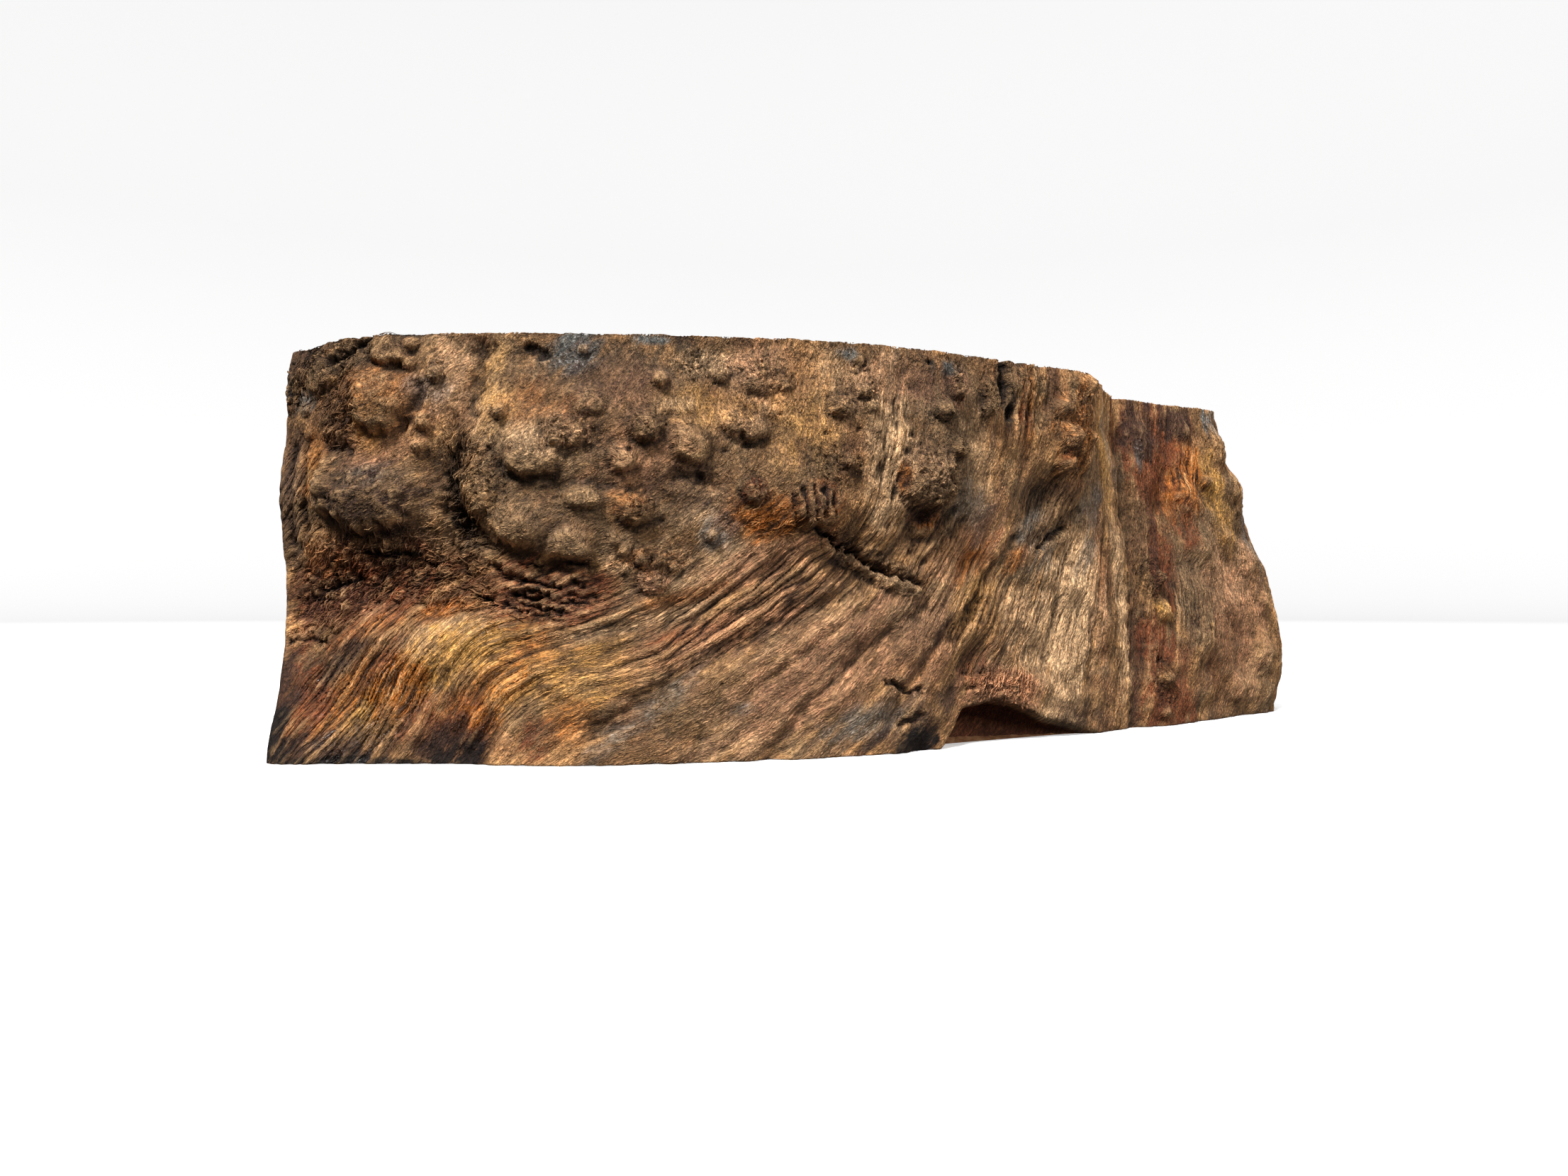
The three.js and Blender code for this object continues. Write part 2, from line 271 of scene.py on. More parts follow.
# Broad swells and hollows of the face, with their rise.
SWELLS = spots(
    (-73, -1, 15, 10, 5.5), (-73, 38, 8, 7, 1.8), (-72, 61, 5, 4, -2.6), (-25, 44, 21, 14, 3.2),
    (-35, 34.5, 10, 6.5, 1.9), (-55, 49.5, 8, 9, 2.2), (-55, 38, 10, 5.5, 2), (-58, 26, 16, 6, -2.1, 8),
    (-35, 23.5, 10, 3.5, -1, -8), (-47, 14, 9, 6, 1.3, 50), (-12, 9, 20, 9, 1.4), (1.5, 38, 9, 7, 2.8),
    (13.5, 48, 4, 12, 1.2), (24, 45, 5.5, 10, 2.4), (46, 51, 5.5, 9, 2.6), (42, 40.5, 4.5, 3, -1.8, 20),
    (11, 29, 9, 3.5, -1.9, -25), (21, 34, 5, 3, -2, 20), (31, 13, 6, 5, -1.6, 50), (52, 18, 6, 16, 1.2),
    (72, 38, 4.5, 20, -1.8, -8), (84, 46, 7, 9, 1.6, -30), (84, 18, 7, 14, 1.4, -10), (106, -1, 9, 6, -2.4),
    (21, -1, 4, 3, -1.2),
)

# Burl lumps with their rise: steep along the lower edge, easing off above.
LUMPS = spots(
    (-54.6, 58.3, 3.2, 2.6, 1.4), (-51.8, 56.1, 0.9, 0.9, 0.8), (-51.4, 58.8, 0.9, 0.9, 0.7),
    (-66.5, 56, 4, 3.5, 1.2), (-55.8, 50.5, 4.3, 4.2, 2.3), (-47.9, 54.3, 1.2, 1.2, 0.9),
    (-49.5, 47.9, 1.2, 1.2, 0.9), (-50.2, 44.7, 1.1, 1, 0.7), (-69.1, 51.2, 1.5, 1.4, 0.6),
    (-68, 47.5, 1.6, 1.4, 0.5), (-57.6, 37.2, 6.6, 4.6, 2.1), (-64.5, 38.5, 2.2, 3.6, 1.1),
    (-38.7, 49.1, 1, 1.2, 1.1), (-34.3, 42.8, 4, 3, 2.1), (-30, 46.6, 3.2, 2.6, 1.2),
    (-22.2, 42.4, 2, 1.9, 1.3), (-19.3, 46.9, 2.2, 2.2, 1.3), (-13.3, 45.4, 3, 3.6, 1.6),
    (-26.5, 50.5, 2.4, 2, 0.8), (-35.9, 33.5, 3.7, 3.2, 1.9), (-28.9, 31, 2.7, 2.4, 1.4),
    (-42, 38.5, 3, 3.8, 1.1), (-27.4, 37.4, 2.6, 2, 1.2), (-20.8, 35.5, 2.4, 2.1, 1.5),
    (-23.6, 31.6, 0.9, 0.8, 0.6), (-22.4, 30.1, 1, 0.9, 0.7), (-20, 28.6, 0.9, 0.8, 0.7),
    (-17.4, 28.7, 0.9, 0.9, 0.8), (-21.8, 27.4, 0.9, 0.7, 0.6), (-15.5, 27.7, 0.9, 0.8, 0.6),
    (-18.5, 25.7, 2.4, 1.7, 1), (-27.7, 57.7, 0.9, 0.8, 0.7), (-17.4, 53.8, 1.4, 1.3, 1),
    (-15.5, 49.8, 2.6, 0.9, 0.3), (-3.7, 54.2, 2.6, 2.3, 0.6), (-3.6, 50.2, 3.2, 0.8, 0.3, -17),
    (-9.1, 54.5, 1.4, 1.1, 0.7), (-0.2, 53.6, 1.3, 1, 0.6), (-7.2, 48.1, 2, 1.9, 0.9),
    (-4.4, 47.2, 2, 1.9, 1), (7.8, 50.7, 1.7, 1.5, 1), (11.2, 53.4, 1.4, 1.2, 0.8),
    (12.4, 51.2, 1.1, 1.1, 0.7), (8.9, 43.2, 1.3, 1.2, 0.8), (-4.5, 38.3, 1.6, 1.7, 1.3),
    (4.1, 36.5, 3.8, 3, 1.7), (-10.3, 32.2, 0.8, 0.9, 0.9), (23.1, 51.2, 1.8, 1.5, 1.2),
    (25.3, 55.3, 1.4, 2.2, 1.2), (25.3, 46, 1.8, 1.9, 1.1), (31.2, 54.2, 1.3, 3, 1.3),
    (20.7, 40.9, 4.5, 4.2, 2), (21.2, 33.6, 2.6, 0.9, 0.6), (48.6, 57.8, 2.2, 2, 1.3),
    (43.7, 54, 1.8, 1.9, 1.2), (51, 53.6, 1.6, 1.9, 1), (44.6, 49.1, 2, 2.1, 1.5),
    (50.2, 50, 1.6, 1.7, 1.1), (44.4, 45, 1.9, 1.8, 1.4), (48.6, 45.4, 1.6, 1.6, 1.1),
    (69.7, 27.5, 1.6, 2.3, 1.4), (70.7, 21.5, 2.4, 2.2, 1.2), (70.1, 9, 2, 2, 1.4),
    (69.6, 2.7, 1.6, 1.3, 1), (66, 53, 3.4, 4, 1.1), (76, 43, 3.6, 4.4, 1.2), (80, 33, 4, 4.6, 1.2),
    (79, 15, 3.8, 4.2, 1.2), (94, 31, 4, 4.2, 1.3), (88, 22, 4, 3.6, 1.2), (83, 53, 4.2, 4.2, 1.6),
    (89, 44.5, 3.4, 4.6, 1.6), (90, 6, 3.6, 3, 1.3), (98, 13, 3.6, 4.4, 1.5), (76, 55, 2, 2.2, 0.9),
    (80.5, 46, 2.2, 1.4, 0.9), (86, 36, 2, 2.4, 0.9), (98, 23, 1.8, 2.2, 1),
)

# Open splits; the colour paints them black inside as shade.
SPLITS = grooves(
    (
        ((5, 32.8), (7.4, 31.3), (8.9, 30.6), (10.9, 29.9), (12.1, 28.9), (14.1, 27.9), (16.5, 26.8)),
        0.26, 1.9,
    ),
    (((16.5, 26.8), (19.1, 25.9), (21.7, 25.3)), 0.22, 1.4),
    (((4.2, 33.4), (5.6, 32.4), (7, 31.6)), 0.45, 1.6),
    (((-57.8, 59.8), (-60.9, 57.9), (-63.9, 56.6)), 0.55, 1.5), (((-59.8, 29.9), (-56.1, 29.6)), 0.45, 1.2),
    (((-55.6, 29.4), (-53.3, 29.8)), 0.5, 1.2), (((-51, 28.4), (-49.8, 28)), 0.4, 0.9),
    (((-67.4, 24.5), (-65, 24.9), (-62.1, 26.2)), 0.5, 1.3), (((-68.9, 23.1), (-66.9, 23.3)), 0.4, 0.9),
    (((-71.9, 17), (-69, 17.7), (-65.7, 17)), 0.35, 0.8), (((-34.9, 57.8), (-33, 56.8)), 0.7, 1.2),
    (((-36.4, 25.7), (-34, 25.3), (-31.1, 24.5)), 0.26, 1.2), (((-36.2, 24.2), (-32.7, 23.8)), 0.2, 0.9),
    (((-37.8, 23.7), (-35.6, 23.4), (-33.8, 23.1)), 0.36, 1.4),
    (((-36.9, 22.7), (-33.7, 21.9), (-31, 21.2)), 0.24, 1.1),
    (((-35.8, 21.4), (-33, 20.7), (-30.6, 20.2)), 0.22, 1), (((-35.9, 27.9), (-33.8, 27.6)), 0.3, 1.1),
    (((-43.2, 23.5), (-40.2, 22.5), (-36.7, 21.5)), 0.26, 1.1), (((-31.4, 22.7), (-27.4, 22.6)), 0.22, 1.1),
    (((-30.3, 28.6), (-27.5, 27.7)), 0.26, 1), (((-29.2, 25.5), (-27.4, 25.1)), 0.22, 1),
    (((33.6, 60.5), (33.9, 57), (33.8, 53.3)), 0.6, 1.9), (((21.6, 50), (23.2, 49.8)), 0.3, 0.8),
    (((10, 57), (12.2, 55.8)), 0.3, 0.7), (((10.3, 55.6), (11.9, 57.2)), 0.3, 0.7),
    (((41.4, 31.4), (44.8, 33.8), (47.4, 35.5)), 0.5, 1.2),
    (((15.4, 10.7), (17.3, 10.5), (19.2, 8.8), (20.9, 9.6)), 0.4, 1.1),
    (((17.5, 4.4), (20.5, 5.5)), 0.6, 1.1), (((0.9, 37.8), (1.1, 35.4)), 0.3, 0.9),
    (((2.2, 38.6), (2.3, 34.6)), 0.3, 1), (((3.5, 38.9), (3.7, 34.4)), 0.3, 1),
    (((4.9, 38.8), (5, 34.6)), 0.3, 1), (((6.2, 38.2), (6.3, 35)), 0.3, 0.9),
    (((-4.9, 39.4), (-5, 37.6)), 0.3, 0.8), (((-3.9, 39.6), (-4, 37.2)), 0.3, 0.8),
)

# Soft furrows and, with a depth below 0, ridges.
FOLDS = grooves(
    (((12.6, 30.2), (15.2, 28.9), (17.4, 27.8), (19.6, 26.9)), 0.7, -0.7),
    (((6.4, 30.7), (9, 29.6), (11, 28.7), (13.2, 27.2), (15.4, 26.2), (18, 25.3), (20.8, 24.6)), 0.7, -1.1),
    (((7.3, 28.7), (10, 27.7), (12.4, 26.5), (14.1, 25.2), (16.5, 24.8)), 0.4, 0.5),
    (((-40.9, 27.9), (-38.9, 26.6), (-36.5, 25.7)), 0.5, 1.2), (((-31.1, 23.8), (-25.8, 23.2)), 0.4, 0.8),
    (((-38, 24.7), (-33, 24.2), (-30, 23.6)), 0.5, -0.6),
    (((-37, 22.9), (-32, 21.9), (-28, 21.4)), 0.5, -0.5),
    (((-50, 52.6), (-50.8, 49.9), (-52.7, 47.5)), 1, 1.2),
    (((-41.5, 57), (-42.4, 52), (-44.6, 46), (-45.8, 40), (-44.4, 33.6)), 1.7, 1.6),
    (((-48.1, 41.5), (-46.4, 37.1), (-44.6, 32.6)), 2.4, 1.5),
    (((-44.4, 34), (-41, 31), (-36.6, 29.4), (-31, 28)), 1.3, 1.2),
    (((-64.1, 42.4), (-63.6, 38.3), (-60.3, 37.2)), 0.9, -0.9), (((-64.1, 44.9), (-60.7, 44)), 0.9, 1),
    (((-38.6, 41.4), (-35.5, 39.4), (-32, 39.6)), 0.8, 0.8),
    (((-31.4, 38.6), (-26.1, 38.6), (-21.3, 38)), 0.9, 0.5), (((-15.2, 40.2), (-11, 39.6)), 1.1, 1),
    (((-34, 27), (-27, 27.4)), 1, 1), (((60.5, 61), (62, 44), (64, 26), (64, -1)), 2.2, 1.3),
    (((-71.2, 45), (-71, 31)), 0.8, 0.8), (((-68.6, 44.5), (-68.4, 33)), 0.7, 0.7),
    (((-66.2, 43.8), (-66, 33.5)), 0.6, 0.6), (((13.9, 42.4), (12.4, 36.2), (9.7, 30.6)), 0.8, 0.7),
    (((25.8, 36.7), (22.9, 33.2), (19.5, 30.2)), 0.8, 0.8),
    (((27.4, 35.2), (24, 31), (21, 28.6)), 0.7, 0.7), (((14.4, 52), (14.3, 42), (13.4, 34)), 0.6, 0.5),
    (((15.9, 52), (15.8, 41), (15, 34)), 0.5, 0.5), (((17.6, 51), (17.4, 44), (16.6, 40)), 0.5, 0.4),
    (((36.4, 60.5), (36.6, 51)), 0.6, 0.6), (((38, 60.5), (38.3, 51)), 0.5, 0.6),
    (((39.6, 60.5), (40, 50.5)), 0.5, 0.6), (((4, 29), (-8, 24.5), (-22, 19.5), (-38, 16)), 1.3, 0.5),
    (((10, 24.5), (-2, 19), (-14, 12.5), (-26, 5)), 1.5, 1.1),
    (((22, 22), (12, 15.5), (2, 6), (-3, -1)), 1.4, 0.9), (((31, 23), (22, 14), (16, 5)), 1.4, 0.9),
    (((37, 33), (31, 25), (28, 17)), 1.3, 0.8), (((16, 24), (6, 17.5), (-4, 10), (-12, 3)), 1, 0.6),
    (((50, 38), (46, 26), (44, 12)), 1.3, 0.6), (((56, 36), (53, 22), (52, 4)), 1.3, 0.6),
    (((-56, 4), (-47, 12.5)), 1.2, 0.6), (((66, 27), (66, 14)), 1.6, 0.7), (((71, 40), (73, 56)), 1.8, 0.6),
    (((40, 32.4), (44, 34.2), (49, 37.4)), 1.2, 0.9),
)

# Holes with their depth.
PITS = spots(
    (-72.1, 54.1, 0.9, 1.2, 1.6), (-72.5, 50.2, 0.6, 0.7, 1.2), (-40.5, 43.9, 0.8, 0.7, 1.5),
    (-21.6, 43.6, 0.8, 0.6, 1.7), (-32.8, 38.4, 0.6, 0.5, 1.1), (-31, 36.9, 0.6, 0.5, 1.1),
    (-12, 40.2, 1.1, 0.8, 1), (-17.4, 34.1, 0.5, 0.5, 1), (-0.7, 49.3, 0.6, 0.5, 1.3),
    (-29.1, 28.2, 1.8, 0.6, 1.3), (25.5, 46.3, 0.8, 0.8, 1.8), (21.1, 58.1, 0.7, 0.5, 1.2),
    (35, 52.2, 0.9, 1.8, 2.4), (69.7, 28.9, 0.7, 0.8, 1.5), (69.7, 26, 0.6, 0.7, 1.4),
    (68.9, 12.3, 0.9, 0.8, 1.4), (80.8, 17.6, 0.7, 0.6, 1.2), (-9, 11.1, 0.4, 0.4, 0.8),
    (21, 35.4, 1.9, 0.7, 1.4), (-49.5, 47.9, 0.4, 0.4, 0.8), (-45.3, 50.6, 0.5, 0.8, 0.9),
    (-8.4, 43.8, 0.7, 0.5, 0.9), (5.6, 46.8, 0.6, 0.5, 0.9), (10.4, 47.6, 0.5, 0.6, 1),
    (18.4, 47.2, 0.6, 0.7, 1), (-60.2, 52.8, 0.9, 1.3, 1), (-5.2, 44.7, 1.8, 0.6, 1),
)

# Knots whose fibres run round them in rings, with the strength of the swirl.
EYES = spots(
    (-69.1, 51.2, 1.3, 1.2, 2.2), (-68, 47.5, 1.5, 1.3, 2.4), (-55.8, 50.5, 3.2, 3.2, 1.3),
    (-47.9, 54.3, 1.1, 1.1, 2), (-38.7, 49.1, 1.1, 1.2, 2), (-34.3, 42.8, 2.6, 2.2, 1.8),
    (-22.2, 42.4, 1.6, 1.5, 2.2), (-19.3, 46.9, 1.7, 1.7, 2), (-13.3, 45.4, 2.3, 2.6, 1.6),
    (-28.9, 31, 2, 1.9, 1.8), (-35.9, 33.5, 2.4, 2.2, 1.3), (-20.8, 35.5, 1.8, 1.7, 2),
    (-23.6, 31.6, 0.9, 0.9, 2.2), (-18.5, 25.7, 1.9, 1.4, 1.8), (-17.4, 53.8, 1.2, 1.2, 2),
    (-3.7, 54.2, 2, 1.8, 2), (-7.2, 48.1, 1.6, 1.5, 1.8), (-4.4, 47.2, 1.5, 1.5, 1.8),
    (-4.5, 38.3, 1.4, 1.4, 2), (23.1, 51.2, 1.3, 1.2, 2), (25.3, 46, 1.4, 1.4, 2.2),
    (44.6, 49.1, 1.6, 1.6, 1.8), (50.2, 50, 1.4, 1.4, 1.8), (43.7, 54, 1.4, 1.5, 1.8),
    (48.6, 57.8, 1.7, 1.6, 1.8), (44.4, 45, 1.4, 1.4, 1.8), (20.7, 41, 2.4, 2.4, 1.4),
    (-57.6, 37.2, 4.2, 3, 0.9), (7.8, 50.7, 1.2, 1.2, 2), (70.1, 9, 1.6, 1.6, 1.8),
    (69.7, 27.5, 1.3, 1.8, 1.6), (80, 33, 2.6, 3, 1.2), (76, 43, 2.4, 2.8, 1.2),
)

# Where the surface is crumbled into corky grains, with how much of it.
CRUMBLES = spots(
    (-64, 57.5, 7, 3, 0.9), (-72, 54, 1.8, 4, 0.9), (-47.9, 54.3, 1.6, 1.6, 0.8), (-55, 50, 3.4, 3.4, 0.35),
    (-29, 45.6, 3.6, 3.2, 0.9), (-40.5, 39, 3.4, 4.4, 0.8), (-34.3, 43.6, 3.2, 2, 0.5),
    (-19.3, 46.9, 2.6, 2.4, 1), (-20.8, 35.5, 2.6, 2.4, 0.9), (-19, 28.4, 5.4, 2.2, 0.8),
    (-18.5, 25.7, 2.6, 1.9, 0.7), (-3.7, 54.2, 2.9, 2.6, 1), (-12.6, 56, 2.6, 2.4, 0.9),
    (-9.1, 54.5, 1.8, 1.5, 0.9), (-0.4, 53.6, 1.7, 1.3, 0.8), (-5.8, 47.6, 3.4, 2.4, 0.6),
    (8, 50.7, 2, 1.8, 1), (11.6, 52.6, 2, 2, 0.9), (7, 42, 4, 3.6, 0.8), (4.1, 36.5, 3.6, 2.9, 0.5),
    (-4.5, 38.3, 1.9, 1.9, 0.8), (25.3, 55.3, 1.7, 2.6, 1), (31.2, 54.2, 1.6, 3.4, 1),
    (20.7, 40.9, 5, 4.8, 0.95), (25.3, 46, 2, 2, 0.9), (22.8, 50.8, 2.4, 2, 0.5), (47, 51.5, 5.4, 8, 0.6),
    (11, 28.6, 5, 1, 0.6, -27), (18, 25.3, 3.6, 0.9, 0.6, -18), (16, 28.6, 3.6, 1, 0.9, -27),
    (68.4, 27, 3, 5, 0.6), (70, 8, 3, 5, 0.6), (35, 8, 7, 2.4, 0.3, -8), (-10, 58, 30, 2, 0.25),
    (30, 58.5, 20, 1.6, 0.25), (4, 46, 9, 8, 0.15), (86, 34, 10, 22, 0.1), (-8, 40, 8, 4, 0.15),
)

# Where grain ridges stand up most, with their strength.
RIDGE_ZONES = spots(
    (-4, 23, 24, 5, 1.25, 24), (-30, 23, 11, 5, 0.9, -10), (6, 14, 20, 7, 0.16, 30),
    (24, 28, 9, 9, 0.65, 50), (46, 22, 10, 15, 0.5, 70), (-60, 9, 15, 10, 1.15, 50), (-70, 38, 4, 8, 0.9),
    (16, 43, 3.6, 10, 0.6), (38, 55, 4, 7, 0.8), (-62, 27, 11, 5, 0.8, 5), (66, 24, 4, 14, 0.5),
    (77, 22, 6, 8, 0.8), (44, 38, 7, 5, 0.8, 35), (32, 20, 10, 10, 0.6, 55), (13, 34, 4, 4, 0.8),
    (56, 40, 4, 14, 0.6), (-40, 12, 9, 9, 0.6, 50), (-20, 10, 12, 8, 0.12, 30),
)

# Where torn fibres lie matted over each other, with how thickly.
MATS = spots(
    (-57, 27, 14, 5, 1, 4), (-45.4, 37.5, 2.4, 7, 1), (-66.5, 21.5, 6, 3.6, 0.7, 10),
    (-63, 49.4, 3, 5, 0.6), (-48, 24, 7, 3, 0.7, -8), (35, 9, 7, 2.4, 1, -10), (8, 31.4, 3, 1.4, 0.6, -25),
    (-3, 33.6, 5, 1.6, 0.5), (-70, 55, 2.4, 4, 0.5),
)

# How the fibres run over the face.
GRAIN = strokes(
    (-70, 58, 25), (-62, 58, 32), (-70, 50, 78), (-70, 38, 86), (-64, 40, 74), (-57, 38, 22), (-62, 50, 60),
    (-56, 46, 45), (-48, 56, 60), (-48, 48, 72), (-44, 50, 80), (-44, 40, 84), (-66, 26, 22), (-58, 28, 4),
    (-50, 29, -4), (-70, 18, 14), (-62, 17, 52), (-68, 8, 58), (-61, 9, 64), (-52, 10, 68), (-70, 2, 52),
    (-56, 2, 58), (-46, 18, 52), (-44, 8, 68), (-36, 12, 54), (-57, 13, 64), (-34, 3, 46), (-40, 24, -18),
    (-33, 23, -12), (-28, 19, -4), (-20, 19, 10), (-44, 26, -20), (-36, 26, -18), (-30, 25, -12),
    (-37, 21, -16), (-33, 20, -14), (-26, 23, -2), (-50, 14, 66), (-48, 5, 64), (-10, 22, 22), (0, 27, 30),
    (-36, 17, 8), (0, 22, 28), (8, 22, 31), (-6, 16, 27), (-16, 12, 25), (-26, 9, 26), (3, 11, 36),
    (14, 12, 46), (-10, 5, 36), (4, 4, 44), (18, 21, 46), (24, 18, 54), (28, 26, 48), (22, 30, 52),
    (30, 14, 56), (36, 20, 60), (36, 33, 52), (44, 24, 68), (44, 10, 72), (50, 18, 78), (44, 40, 42),
    (51, 36, 66), (56, 18, 86), (57, 44, 98), (16, 50, 88), (15, 39, 80), (11, 33, 62), (37, 56, 90),
    (38, 46, 82), (30, 43, 66), (28, 56, 88), (-30, 53, 58), (-20, 52, 72), (-10, 51, 80), (0, 46, 82),
    (7, 46, 84), (-38, 45, 66), (-38, 38, 42), (-28, 35, 22), (-20, 32, 6), (-12, 34, 32), (-2, 33, 14),
    (5, 34, 6), (46, 54, 88), (62, 52, 102), (63, 20, 92), (70, 52, 74), (74, 30, 86), (80, 46, 66),
    (90, 32, 62), (80, 12, 80), (96, 14, 68), (86, 4, 58), (78, 58, 80), (68, 40, 96),
)


class Stain(Enum):
    """The colours that weather, soil and resin have left on the burl, in the order in which they lie; umber
    is also laid as painted shade in places, and the last is painted shade only.
    """

    DUN = "#765d42"
    PALE = "#dbb184"
    ROSE = "#bd8560"
    OCHRE = "#cb964f"
    AMBER = "#b56b2b"
    RUST = "#733e22"
    SLATE = "#686a66"
    UMBER = "#412c21"
    SOOT = "#120d0a"


